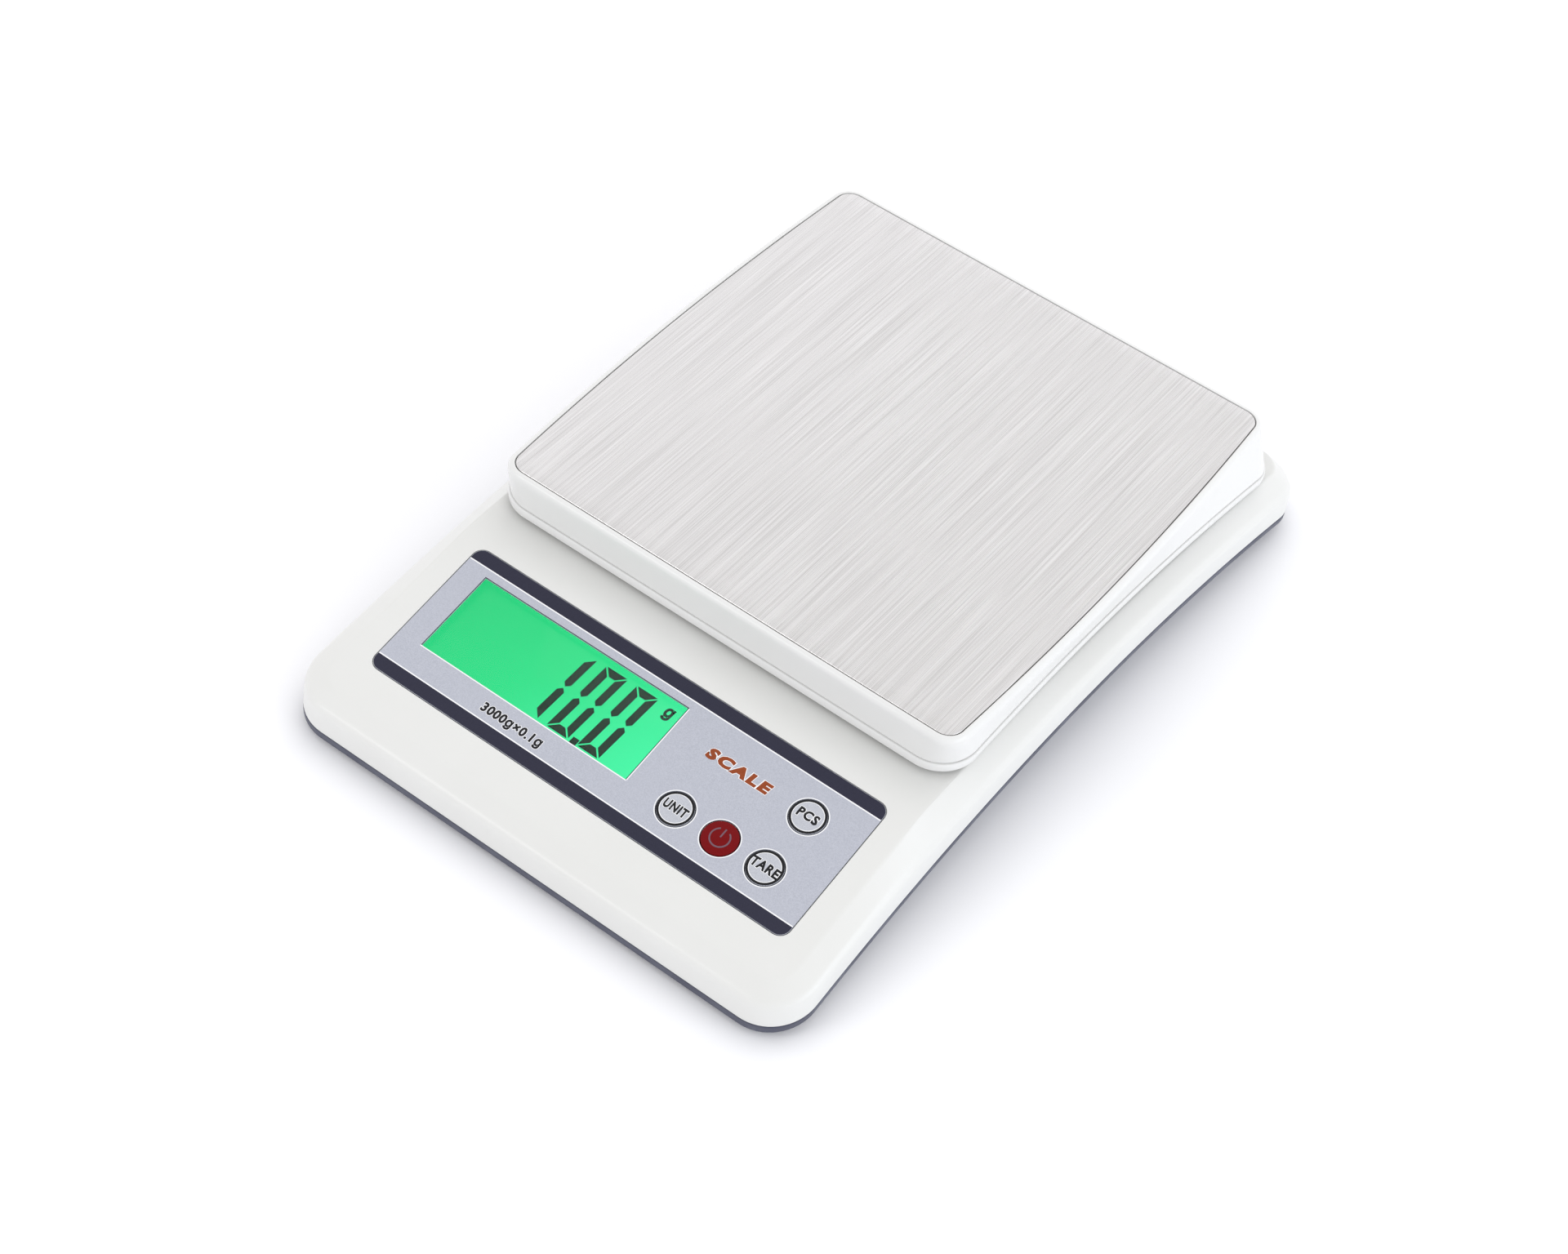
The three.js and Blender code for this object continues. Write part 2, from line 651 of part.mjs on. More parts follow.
const glassX = [windowLeft - glassBorderX, windowRight + glassBorderX];
const glassY = [windowFrontMargin - glassBorderY, windowBack + glassBorderY];
const backlightBottom = glassBottom - fit - backlightThickness;
const zebraDepth = 2;

function lcdGlass() {
  return block(glassX, glassY, [glassBottom, glassTop]);
}

function lcdBacklight() {
  const front = glassY[0] + zebraDepth + 2 * fit;
  return block(glassX, [front, glassY[1]], [backlightBottom, glassBottom - fit]);
}

function zebraConnector() {
  const span = [glassX[0] + 2, glassX[1] - 2];
  return block(span, [glassY[0], glassY[0] + zebraDepth], [boardTop + fit, glassBottom - fit]);
}

function lcdFrame() {
  const grow = ([low, high], by) => [low - by, high + by];
  const levels = [boardTop + fit, glassTop];
  const outer = block(grow(glassX, frameWall + fit), grow(glassY, frameWall + fit), levels);
  const inner = block(grow(glassX, fit), grow(glassY, fit), [boardTop - 1, 0]);
  return toGeometry(cutAll(toSolid(outer), [inner]));
}

function mainBoard() {
  const edge = panelHalfWidth - boardMarginX;
  const depth = [boardMarginFront, panelDepth + boardBackReach];
  const blank = block([-edge, edge], depth, [boardBottom, boardTop]);
  const through = [boardBottom - overcut, boardTop + overcut];
  const holes = boardScrews.map((at) => rod(boardScrewHole, at, through));
  return toGeometry(cutAll(toSolid(blank), holes));
}

function chip([width, depth, height], [x, v]) {
  const top = boardBottom - fit;
  return block([x - width / 2, x + width / 2], [v - depth / 2, v + depth / 2], [top - height, top]);
}

function tactSwitch([x, v]) {
  const half = switchSize / 2;
  const bodyBottom = boardTop + fit;
  const bodyTop = bodyBottom + switchHeight;
  const can = block([x - half, x + half], [v - half, v + half], [bodyBottom, bodyTop]);
  const button = rod(switchButtonRadius, [x, v], [bodyTop - fit, bodyTop + switchButtonHeight]);
  return toGeometry(joinAll(toSolid(can), [button]));
}

// Domed cap, a flange that keeps it under the deck, and a stem over the switch.
function keyCap() {
  const flangeTop = -deckThickness - keyFlangeGap;
  const flangeBottom = flangeTop - keyFlangeThickness;
  const stemBottom = boardTop + fit + switchHeight + switchButtonHeight + keyTravel + 0.1;
  return turned([
    [0, stemBottom], [keyStemRadius, stemBottom],
    [keyStemRadius, flangeBottom], [keyRadius + keyFlange, flangeBottom],
    [keyRadius + keyFlange, flangeTop], [keyRadius, flangeTop], [keyRadius, keyCrown * 0.2],
    [keyRadius * 0.93, keyCrown * 0.55], [keyRadius * 0.6, keyCrown * 0.88], [0, keyCrown],
  ], 20);
}

function boardScrew() {
  const head = boardBottom - fit;
  return turned([
    [0, head - 1.3], [1.8, head - 1.3], [2.3, head - 0.7], [2.3, head],
    [0.7, head], [0.7, boardTop + 4], [0, boardTop + 4.3],
  ], 10);
}

// ---------------------------------------------------------------- load cell and carrier

function loadCell() {
  const half = cellSection / 2;
  const beam = block([-half, half], [cellFront, cellBack], [cellBottomZ, cellTopZ]);
  const middle = (cellFront + cellBack) / 2;
  const midZ = (cellBottomZ + cellTopZ) / 2;
  const bore = (offset) => new THREE.CylinderGeometry(cellWindowRadius, cellWindowRadius, 20, 16)
    .rotateZ(Math.PI / 2).translate(0, middle + offset, midZ);
  const holes = [
    bore(-cellWindowSpan / 2),
    bore(cellWindowSpan / 2),
    block([-half - overcut, half + overcut], [middle - cellWindowSpan / 2, middle + cellWindowSpan / 2],
      [midZ - cellSlotHeight / 2, midZ + cellSlotHeight / 2]),
  ];
  for (const y of [...cellBoltYs, ...carrierBoltYs]) {
    holes.push(rod(boltRadius + screwPlay, [0, y], [cellBottomZ - overcut, cellTopZ + overcut]));
  }
  return toGeometry(cutAll(toSolid(beam), holes));
}

function drilledSpacer(boltYs, levels) {
  const half = cellSection / 2;
  const blank = block([-half, half], [boltYs[0] - spacerMargin, boltYs[1] + spacerMargin], levels);
  const through = [levels[0] - overcut, levels[1] + overcut];
  const holes = boltYs.map((y) => rod(boltRadius + screwPlay, [0, y], through));
  return toGeometry(cutAll(toSolid(blank), holes));
}

const padX = plateHalfWidth - padMarginX;
const padYs = { front: plateFront + padMarginY, rear: plateBack - padMarginY };

// Cross-shaped carrier: a hub over the bolts, four arms, and an overload stop under each tip.
function platterCarrier() {
  const levels = [carrierBottomZ, carrierTopZ];
  const hubFront = Math.min(plateMiddle - carrierHubLength / 2, carrierBoltYs[0] - 8);
  const hubBack = Math.max(plateMiddle + carrierHubLength / 2, carrierBoltYs[1] + 6);
  const hub = block([-carrierHubWidth / 2, carrierHubWidth / 2], [hubFront, hubBack], levels);
  const pieces = [];
  for (const side of [-1, 1]) {
    for (const y of Object.values(padYs)) {
      const tip = new THREE.Vector2(side * padX, y - plateMiddle);
      const arm = new THREE.BoxGeometry(tip.length(), carrierArmWidth, carrierThickness);
      arm.translate(tip.length() / 2, 0, 0).rotateZ(tip.angle());
      pieces.push(arm.translate(0, plateMiddle, (levels[0] + levels[1]) / 2));
      pieces.push(rod(carrierTipRadius, [side * padX, y], levels, 20));
      pieces.push(rod(stopRadius, [side * padX, y], [deckZ(y) + overloadGap, carrierBottomZ + overcut]));
    }
  }
  const holes = carrierBoltYs.map((y) => rod(boltRadius + screwPlay, [0, y], [0, carrierTopZ + overcut]));
  return toGeometry(cutAll(joinAll(toSolid(hub), pieces), holes));
}

function screwDown(seat, tip) {
  return turned([
    [0, tip], [boltRadius, tip + 1], [boltRadius, seat], [boltHeadRadius, seat],
    [boltHeadRadius, seat + 1.4], [boltHeadRadius * 0.6, seat + 2.2], [0, seat + 2.2],
  ], 12);
}

function carrierPad() {
  return turned([
    [0, carrierTopZ], [padRadius, carrierTopZ], [padRadius, trayCeilingZ - 0.6],
    [padRadius - 0.6, trayCeilingZ], [0, trayCeilingZ],
  ], 16);
}

// ---------------------------------------------------------------- platter

// A ring part way between the skirt's lower edge and the rim.
function skirtRing(share, skirtInset, rimInset, height) {
  const low = halfOutline(skirtOutline, skirtInset);
  const high = halfOutline(plateOutline, rimInset - rimWidth);
  return low.map(([x, y], index) => {
    const [rimX, rimY] = high[index];
    return [x + share * (rimX - x), y + share * (rimY - y), height(y)];
  });
}

function platterTray() {
  const rimRing = (inset, z) => ring(plateOutline, inset - rimWidth, level(z));
  const blank = ringSolid([
    rimRing(4.4, trayCeilingZ),
    rimRing(3, trayCeilingZ - 1),
    skirtRing(0, trayWall + 0.2, 0, (y) => skirtZ(y) + 1.5),
    skirtRing(0, trayWall, 0, skirtZ),
    skirtRing(0, 0, 0, skirtZ),
    skirtRing(0, 0, 0, (y) => skirtZ(y) + ledgeHeight),
    skirtRing(0, 0.4, 0, (y) => skirtZ(y) + ledgeHeight + 0.4),
    skirtRing(0.9, 0, 0, level(plateTopZ - 2.4)),
    rimRing(0.15, plateTopZ - 1.2),
    rimRing(0.6, plateTopZ - 0.4),
    rimRing(1.3, plateTopZ),
    rimRing(rimWidth - fit, plateTopZ),
    rimRing(rimWidth - fit, trayFloorZ),
  ]);
  const sockets = [];
  const pockets = [];
  const socketLevels = [carrierTopZ + 1, trayCeilingZ + overcut];
  for (const side of [-1, 1]) {
    for (const y of Object.values(padYs)) {
      sockets.push(rod(padRadius + socketWall, [side * padX, y], socketLevels, 20));
      pockets.push(rod(padRadius + socketPlay, [side * padX, y], [carrierTopZ, trayCeilingZ], 20));
    }
  }
  return toGeometry(cutAll(joinAll(toSolid(blank), sockets), pockets));
}

function steelPlate() {
  return ringSolid([
    ring(plateOutline, 0, level(plateBottomZ)),
    ring(plateOutline, 0, level(plateTopZ - 0.3)),
    ring(plateOutline, 0.3, level(plateTopZ)),
  ]);
}

function adhesiveSheet() {
  return ringSolid([
    ring(plateOutline, 2, level(trayFloorZ)),
    ring(plateOutline, 2, level(plateBottomZ)),
  ]);
}

// ---------------------------------------------------------------- battery box

const contactX = boxHalfWidth - fit;
const contactFaceX = contactX - contactThickness;

// Cell along X with its button end on the given side.
function battery(side) {
  const buttonTip = contactFaceX - buttonGap;
  const bodyEnd = cellLengthAaa - buttonHeight;
  const profile = [
    [0, 0], [cellRadiusAaa - 0.3, 0], [cellRadiusAaa, 0.3], [cellRadiusAaa, bodyEnd - 0.3],
    [cellRadiusAaa - 0.3, bodyEnd], [buttonRadius, bodyEnd],
    [buttonRadius, cellLengthAaa], [0, cellLengthAaa],
  ];
  return turned(profile).rotateY(side * Math.PI / 2).translate(side * (buttonTip - cellLengthAaa), 0, 0);
}

function contactPlate(side, yRange) {
  const x = side > 0 ? [contactFaceX, contactX] : [-contactX, -contactFaceX];
  return block(x, yRange, [cellMidZ - contactHeight / 2, cellMidZ + contactHeight / 2]);
}

function contactDimple(side, y) {
  const dimple = turned([[0, -0.2], [1.6, -0.2], [1.2, 0.6], [0, 0.6]], 16);
  return dimple.rotateY(-side * Math.PI / 2).translate(side * contactFaceX, y, cellMidZ);
}

// A conical coil from the plate towards the flat end of a cell.
function contactSpring(side, y) {
  const turns = 3.5;
  const stepsPerTurn = 8;
  const points = [];
  for (let step = 0; step <= turns * stepsPerTurn; step += 1) {
    const share = step / (turns * stepsPerTurn);
    const angle = share * turns * 2 * Math.PI;
    const radius = 3.3 - 1.2 * share;
    const reach = share * (springReach - 1);
    points.push(new THREE.Vector3(
      side * (contactFaceX - 0.1 - reach),
      y + radius * Math.cos(angle),
      cellMidZ + radius * Math.sin(angle),
    ));
  }
  const wire = new THREE.Shape().absarc(0, 0, 0.3, 0, 2 * Math.PI);
  const path = new THREE.CatmullRomCurve3(points);
  const options = { steps: turns * stepsPerTurn, extrudePath: path, curveSegments: 3 };
  return new THREE.ExtrudeGeometry(wire, { ...options, bevelEnabled: false });
}

function batteryContact(side, { springAt, dimpleAt, tabAt }) {
  const ys = [springAt, dimpleAt].filter((y) => y !== undefined);
  const plate = contactPlate(side, [Math.min(...ys) - 4, Math.max(...ys) + 4]);
  const pieces = [];
  if (springAt !== undefined) pieces.push(contactSpring(side, springAt));
  if (dimpleAt !== undefined) pieces.push(contactDimple(side, dimpleAt));
  if (tabAt !== undefined) {
    const reach = [side * (contactX - 0.2), side * (boxHalfWidth + boxWall + 1)].toSorted((a, b) => a - b);
    pieces.push(block(reach, [tabAt - tabWidth / 2, tabAt + tabWidth / 2],
      [cellMidZ - tabHeight / 2, cellMidZ + tabHeight / 2]));
  }
  return toGeometry(joinAll(toSolid(plate), pieces));
}

// Flat door with two tongues that hook through the box's front wall and a sprung latch at the rear.
function batteryDoor() {
  const top = baseClearance + doorThickness;
  const x = [-boxHalfWidth + fit, boxHalfWidth - fit];
  const panel = block(x, [boxFront + fit, boxBack - fit], [baseClearance, top]);
  const pieces = [];
  for (const side of [-1, 1]) {
    const across = [side * tongueX - tongueWidth / 2, side * tongueX + tongueWidth / 2];
    const tongueLevels = [tubFloorZ + fit, tubFloorZ + fit + 1.2];
    pieces.push(block(across, [boxFront + fit, boxFront + 1.3], [top - 0.5, tongueLevels[1]]));
    pieces.push(block(across, [boxFront - boxWall - 0.6, boxFront + 1.3], tongueLevels));
  }
  const latch = [-latchWidth / 2 + fit, latchWidth / 2 - fit];
  pieces.push(block(latch, [boxBack - 1.3, boxBack - fit], [top - 0.5, top + 1.6]));
  pieces.push(block(latch, [boxBack - 1, boxBack + 1.4], [baseClearance, baseClearance + 1]));
  return toGeometry(joinAll(toSolid(panel), pieces));
}

// ---------------------------------------------------------------- internal leads

function lead(points, radius) {
  const path = new THREE.CatmullRomCurve3(points.map((point) => new THREE.Vector3(...point)));
  const section = new THREE.Shape().absarc(0, 0, radius, 0, 2 * Math.PI);
  const steps = Math.ceil(path.getLength() / (6 * radius));
  const options = { steps, extrudePath: path, bevelEnabled: false, curveSegments: 4 };
  return new THREE.ExtrudeGeometry(section, options);
}

const leadRadius = 0.9;
const leadZ = tubFloorZ + 2 * fit + leadRadius;
const tabTipX = boxHalfWidth + boxWall + 1 + fit;

// Where a lead meets the underside of the board, at the given x and v.
function underBoard(x, v) {
  const point = new THREE.Vector3(x, v, boardBottom - fit).applyMatrix4(panelMatrix);
  return [point.x, point.y, point.z];
}

function climbToBoard(x, v) {
  const [, y, z] = underBoard(x, v);
  return [[x, y + 3, leadZ], [x, y + 0.6, (leadZ + z) / 2], [x, y, z]];
}

function loadCellCable() {
  const start = cellSection / 2 + fit + leadRadius;
  return lead([
    [start, cellBoltYs[1] + 12, cellBottomZ + 5],
    [start + 5, cellBoltYs[1] + 8, cellBottomZ + 2],
    [start + 8, cellBoltYs[1], leadZ + 1],
    [start + 9, cellBoltYs[0], leadZ],
    [start + 9, cellBoltYs[0] - 12, leadZ],
    [24, panelBackY + 4, leadZ],
    ...climbToBoard(24, 30),
  ], leadRadius);
}

function redLead() {
  return lead([
    [tabTipX, positiveLeadY, cellMidZ],
    [tabTipX + 2, positiveLeadY, cellMidZ],
    [tabTipX + 4, positiveLeadY - 6, (cellMidZ + leadZ) / 2],
    [tabTipX + 5, boxFront - 14, leadZ],
    [30, cellFront, leadZ],
    [34, panelBackY + 4, leadZ],
    ...climbToBoard(34, 30),
  ], leadRadius);
}

function blackLead() {
  return lead([
    [-tabTipX, negativeLeadY, cellMidZ],
    [-tabTipX - 2, negativeLeadY, cellMidZ],
    [-tabTipX - 4, negativeLeadY - 7, (cellMidZ + leadZ) / 2],
    [-tabTipX - 5, boxFront, leadZ],
    [-30, cellFront, leadZ],
    [-26, panelBackY + 4, leadZ],
    ...climbToBoard(-26, 30),
  ], leadRadius);
}

// ---------------------------------------------------------------- assembly

const scale = new THREE.Group();
const housing = new THREE.Group();
const panel = new THREE.Group();
const platter = new THREE.Group();
panel.position.set(0, panelFrontY, panelFrontZ);
panel.rotation.x = panelTilt;
scale.add(housing, panel, platter);

function place(group, name, finish, geometry, position = [0, 0, 0]) {
  const mesh = new THREE.Mesh(geometry, new THREE.MeshStandardMaterial(finishes[finish]));
  mesh.name = name;
  mesh.position.set(...position);
  group.add(mesh);
}

place(housing, 'top_shell', 'shell', topShell());
place(housing, 'bottom_shell', 'base', bottomShell());

for (const [sideName, side] of [['left', -1], ['right', 1]]) {
  for (const [rowName, y] of [['front', -feetY], ['rear', feetY]]) {
    place(housing, `foot_${rowName}_${sideName}`, 'rubber', foot(), [side * feetX, y, 0]);
  }
  for (const [rowName, y] of Object.entries(caseScrewRows)) {
    const screw = screwUp(screwHeadRadius, screwRadius, caseScrewSeatZ, 1.6, caseScrewTipZ);
    place(housing, `case_screw_${rowName}_${sideName}`, 'screw', screw, [side * caseScrewX, y, 0]);
  }
}

place(panel, 'panel_overlay', 'overlay', panelOverlay());
place(panel, 'display_lens', 'lens', displayLens());
place(panel, 'lcd_glass', 'display', lcdGlass());
place(panel, 'lcd_backlight', 'backlight', lcdBacklight());
place(panel, 'lcd_frame', 'frame', lcdFrame());
place(panel, 'zebra_connector', 'elastomer', zebraConnector());
place(panel, 'main_board', 'board', mainBoard());
place(panel, 'controller_chip', 'chip', chip([10, 10, 1.4], [-8, 24]));
place(panel, 'converter_chip', 'chip', chip([6, 8, 1.4], [12, 24]));
boardScrews.forEach(([x, v], index) => {
  place(panel, `board_screw_${index + 1}`, 'screw', boardScrew(), [x, v, 0]);
});
for (const [name, at] of Object.entries(keys)) {
  place(panel, `switch_${name}`, 'chip', tactSwitch(at));
  place(panel, `key_${name}`, name === 'power' ? 'powerKey' : 'key', keyCap(), [...at, 0]);
}

place(housing, 'load_cell', 'aluminium', loadCell());
place(housing, 'load_cell_spacer', 'aluminium',
  drilledSpacer(cellBoltYs, [cellBottomZ - cellSpacerHeight, cellBottomZ]));
cellBoltYs.forEach((y, index) => {
  const bolt = screwUp(boltHeadRadius, boltRadius, boltSeatZ, 2, cellBottomZ + 8);
  place(housing, `load_cell_screw_${index + 1}`, 'screw', bolt, [0, y, 0]);
});
place(housing, 'load_cell_cable', 'greyLead', loadCellCable());

const boxCells = Array.from({ length: cellCount }, (_, index) => positiveLeadY + index * cellPitchAaa);
boxCells.forEach((y, index) => {
  const side = index % 2 === 0 ? 1 : -1;
  place(housing, `battery_${index + 1}`, 'battery', battery(side), [0, y, cellMidZ]);
});
const [firstCell, secondCell, thirdCell] = boxCells;
const contacts = {
  positive: batteryContact(1, { dimpleAt: firstCell, tabAt: firstCell }),
  link_left: batteryContact(-1, { springAt: firstCell, dimpleAt: secondCell }),
  link_right: batteryContact(1, { springAt: secondCell, dimpleAt: thirdCell }),
  negative: batteryContact(-1, { springAt: thirdCell, tabAt: thirdCell }),
};
for (const [name, contact] of Object.entries(contacts)) {
  place(housing, `contact_${name}`, 'contact', contact);
}
place(housing, 'battery_lead_red', 'redLead', redLead());
place(housing, 'battery_lead_black', 'blackLead', blackLead());
place(housing, 'battery_door', 'base', batteryDoor());

place(platter, 'upper_spacer', 'aluminium', drilledSpacer(carrierBoltYs, [cellTopZ, carrierBottomZ]));
place(platter, 'platter_carrier', 'carrier', platterCarrier());
carrierBoltYs.forEach((y, index) => {
  place(platter, `carrier_screw_${index + 1}`, 'screw', screwDown(carrierTopZ, cellTopZ - 8), [0, y, 0]);
});
for (const [sideName, side] of [['left', -1], ['right', 1]]) {
  for (const [rowName, y] of Object.entries(padYs)) {
    place(platter, `carrier_pad_${rowName}_${sideName}`, 'rubber', carrierPad(), [side * padX, y, 0]);
  }
}
place(platter, 'platter_tray', 'tray', platterTray());
place(platter, 'steel_plate', 'steel', steelPlate());
place(platter, 'adhesive_sheet', 'adhesive', adhesiveSheet());

export default scale;
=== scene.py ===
import math

import bpy
import bmesh
from mathutils import Matrix, Vector


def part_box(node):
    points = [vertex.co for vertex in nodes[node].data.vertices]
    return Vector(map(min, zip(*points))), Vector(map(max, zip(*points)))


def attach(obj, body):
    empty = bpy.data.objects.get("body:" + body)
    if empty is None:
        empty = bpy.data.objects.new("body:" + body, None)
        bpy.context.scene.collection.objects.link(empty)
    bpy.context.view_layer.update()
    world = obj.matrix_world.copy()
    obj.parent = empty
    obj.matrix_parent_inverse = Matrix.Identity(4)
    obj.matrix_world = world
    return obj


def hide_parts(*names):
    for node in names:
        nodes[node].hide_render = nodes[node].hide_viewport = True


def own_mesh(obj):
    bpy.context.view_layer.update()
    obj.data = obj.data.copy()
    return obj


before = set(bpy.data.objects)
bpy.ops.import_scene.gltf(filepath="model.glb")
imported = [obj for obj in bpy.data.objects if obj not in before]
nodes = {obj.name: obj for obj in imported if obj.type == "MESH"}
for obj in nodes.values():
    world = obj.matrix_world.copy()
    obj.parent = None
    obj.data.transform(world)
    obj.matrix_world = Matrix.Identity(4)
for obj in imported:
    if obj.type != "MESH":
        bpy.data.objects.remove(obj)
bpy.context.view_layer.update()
scene = bpy.context.scene
mm = 0.001
print("gram scale: frame loaded")


# --- small helpers: shapes are (points in mm, faces)

def boxMm(node):
    low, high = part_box(node)
    return low / mm, high / mm


def blockShape(xs, ys, zs):
    points = [(x, y, z) for z in zs for y in ys for x in xs]
    return points, [(0, 2, 3, 1), (4, 5, 7, 6), (0, 1, 5, 4), (2, 6, 7, 3), (0, 4, 6, 2), (1, 3, 7, 5)]


def prismShape(outline, zs):
    count = len(outline)
    points = [(x, y, z) for z in zs for x, y in outline]
    faces = [tuple(reversed(range(count))), tuple(range(count, 2 * count))]
    faces += [(i, (i + 1) % count, count + (i + 1) % count, count + i) for i in range(count)]
    return points, faces


def circle(radius, centre=(0, 0), steps=48, start=0.0, sweep=360.0):
    closed = sweep >= 360
    count = steps if closed else steps + 1
    angles = [math.radians(start + sweep * i / steps) for i in range(count)]
    return [(centre[0] + radius * math.cos(a), centre[1] + radius * math.sin(a)) for a in angles]


def rodShape(radius, centre, zs, steps=40):
    return prismShape(circle(radius, centre, steps), zs)


def ringPrint(inner, outer, centre, zs, steps=72):
    points, faces = [], []
    for radius in (inner, outer):
        for z in zs:
            points += [(x, y, z) for x, y in circle(radius, centre, steps)]
    for i in range(steps):
        j = (i + 1) % steps
        a, b, c, d = (row * steps for row in range(4))
        faces += [(a + i, c + i, c + j, a + j), (b + i, b + j, d + j, d + i)]
        faces += [(a + i, a + j, b + j, b + i), (c + i, d + i, d + j, c + j)]
    return points, faces


def latheShape(profile, steps=48):
    points, faces, rows = [], [], []
    for radius, z in profile:
        rows.append((len(points), radius > 0))
        points += [(x, y, z) for x, y in circle(radius, steps=steps)] if radius > 0 else [(0, 0, z)]
    for (low, lowRing), (high, highRing) in zip(rows, rows[1:]):
        for i in range(steps):
            j = (i + 1) % steps
            if lowRing and highRing:
                faces.append((low + i, low + j, high + j, high + i))
            elif lowRing:
                faces.append((low + i, low + j, high))
            elif highRing:
                faces.append((low, high + j, high + i))
    return points, faces


def roundedOutline(xs, ys, radius, steps=8):
    x0, x1 = xs
    y0, y1 = ys
    corners = [((x1 - radius, y0 + radius), -90), ((x1 - radius, y1 - radius), 0),
               ((x0 + radius, y1 - radius), 90), ((x0 + radius, y0 + radius), 180)]
    return [p for centre, start in corners for p in circle(radius, centre, steps, start, 90)]


def moved(shape, matrix):
    points, faces = shape
    return [tuple(matrix @ Vector(p)) for p in points], faces


def merged(shapes):
    points, faces = [], []
    for shapePoints, shapeFaces in shapes:
        base = len(points)
        points += shapePoints
        faces += [tuple(base + i for i in face) for face in shapeFaces]
    return points, faces


def makeObject(name, shapes):
    points, faces = merged(shapes)
    mesh = bpy.data.meshes.new(name)
    mesh.from_pydata([Vector(p) * mm for p in points], [], faces)
    work = bmesh.new()
    work.from_mesh(mesh)
    bmesh.ops.recalc_face_normals(work, faces=work.faces)
    work.to_mesh(mesh)
    work.free()
    obj = bpy.data.objects.new(name, mesh)
    scene.collection.objects.link(obj)
    return obj


def applyModifiers(obj):
    bpy.context.view_layer.update()
    ready = obj.evaluated_get(bpy.context.evaluated_depsgraph_get())
    mesh = bpy.data.meshes.new_from_object(ready)
    obj.modifiers.clear()
    obj.data = mesh


def combine(obj, shapes, operation):
    # one boolean with every shape; shapes in one call never touch each other
    tool = makeObject("tool", shapes)
    change = obj.modifiers.new("combine", "BOOLEAN")
    change.operation = operation
    change.solver = "MANIFOLD"
    change.object = tool
    applyModifiers(obj)
    bpy.data.objects.remove(tool)


def tidyShading(obj, angle=30):
    obj.data.shade_smooth()
    obj.data.set_sharp_from_angle(angle=math.radians(angle))


def roundEdges(obj, width, angle=35, segments=2):
    bevel = obj.modifiers.new("softEdges", "BEVEL")
    bevel.width = width * mm
    bevel.segments = segments
    bevel.limit_method = "ANGLE"
    bevel.angle_limit = math.radians(angle)


def fitPiece(obj, material, body, replaced=()):
    obj.data.materials.clear()
    obj.data.materials.append(material)
    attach(obj, body)
    if replaced:
        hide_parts(*replaced)
    return obj


def addPiece(name, shapes, material, body, replaced=(), angle=30):
    obj = makeObject(name, shapes)
    tidyShading(obj, angle)
    return fitPiece(obj, material, body, replaced)


# --- shader groups shared by the materials

def makeGroup(name, inputs, outputs):
    group = bpy.data.node_groups.new(name, "ShaderNodeTree")
    for label, value in inputs:
        socket = group.interface.new_socket(label, in_out="INPUT", socket_type="NodeSocketFloat")
        socket.default_value = value
    for label in outputs:
        group.interface.new_socket(label, in_out="OUTPUT", socket_type="NodeSocketFloat")
    return group, group.nodes.new("NodeGroupInput"), group.nodes.new("NodeGroupOutput")


def addNode(tree, kind, settings=None, values=None):
    node = tree.nodes.new(kind)
    for key, value in (settings or {}).items():
        setattr(node, key, value)
    for key, value in (values or {}).items():
        node.inputs[key].default_value = value
    return node


def joinSockets(tree, *pairs):
    for start, end in pairs:
        tree.links.new(start, end)


def remap(tree, source, low, high, fromLow=0.0, fromHigh=1.0):
    node = addNode(tree, "ShaderNodeMapRange", None, {
        "From Min": fromLow, "From Max": fromHigh, "To Min": low, "To Max": high})
    tree.links.new(source, node.inputs["Value"])
    return node.outputs["Result"]


def multiply(tree, first, second):
    node = addNode(tree, "ShaderNodeMath", {"operation": "MULTIPLY"})
    joinSockets(tree, (first, node.inputs[0]), (second, node.inputs[1]))
    return node.outputs[0]


def objectNoise(tree, values, size=None, kind="Noise"):
    # noise laid in the piece's own space; size, where given, is the socket that sets its scale
    place = addNode(tree, "ShaderNodeTexCoord")
    noise = addNode(tree, f"ShaderNodeTex{kind}", None, values)
    joinSockets(tree, (place.outputs["Object"], noise.inputs["Vector"]))
    if size:
        joinSockets(tree, (size, noise.inputs["Scale"]))
    return noise


def buildMouldGrain():
    # fine spark-eroded grain of a moulding, and slow changes of tone across it
    group, given, result = makeGroup(
        "mouldGrain", [("Grain Size", 2600.0), ("Tone Size", 26.0)], ["Height", "Tone"])
    grain = objectNoise(group, {"Detail": 3.0, "Roughness": 0.6}, given.outputs["Grain Size"])
    tone = objectNoise(group, {"Detail": 4.0, "Roughness": 0.55, "Distortion": 0.3}, given.outputs["Tone Size"])
    joinSockets(
        group, (grain.outputs["Fac"], result.inputs["Height"]), (tone.outputs["Fac"], result.inputs["Tone"]))
    return group


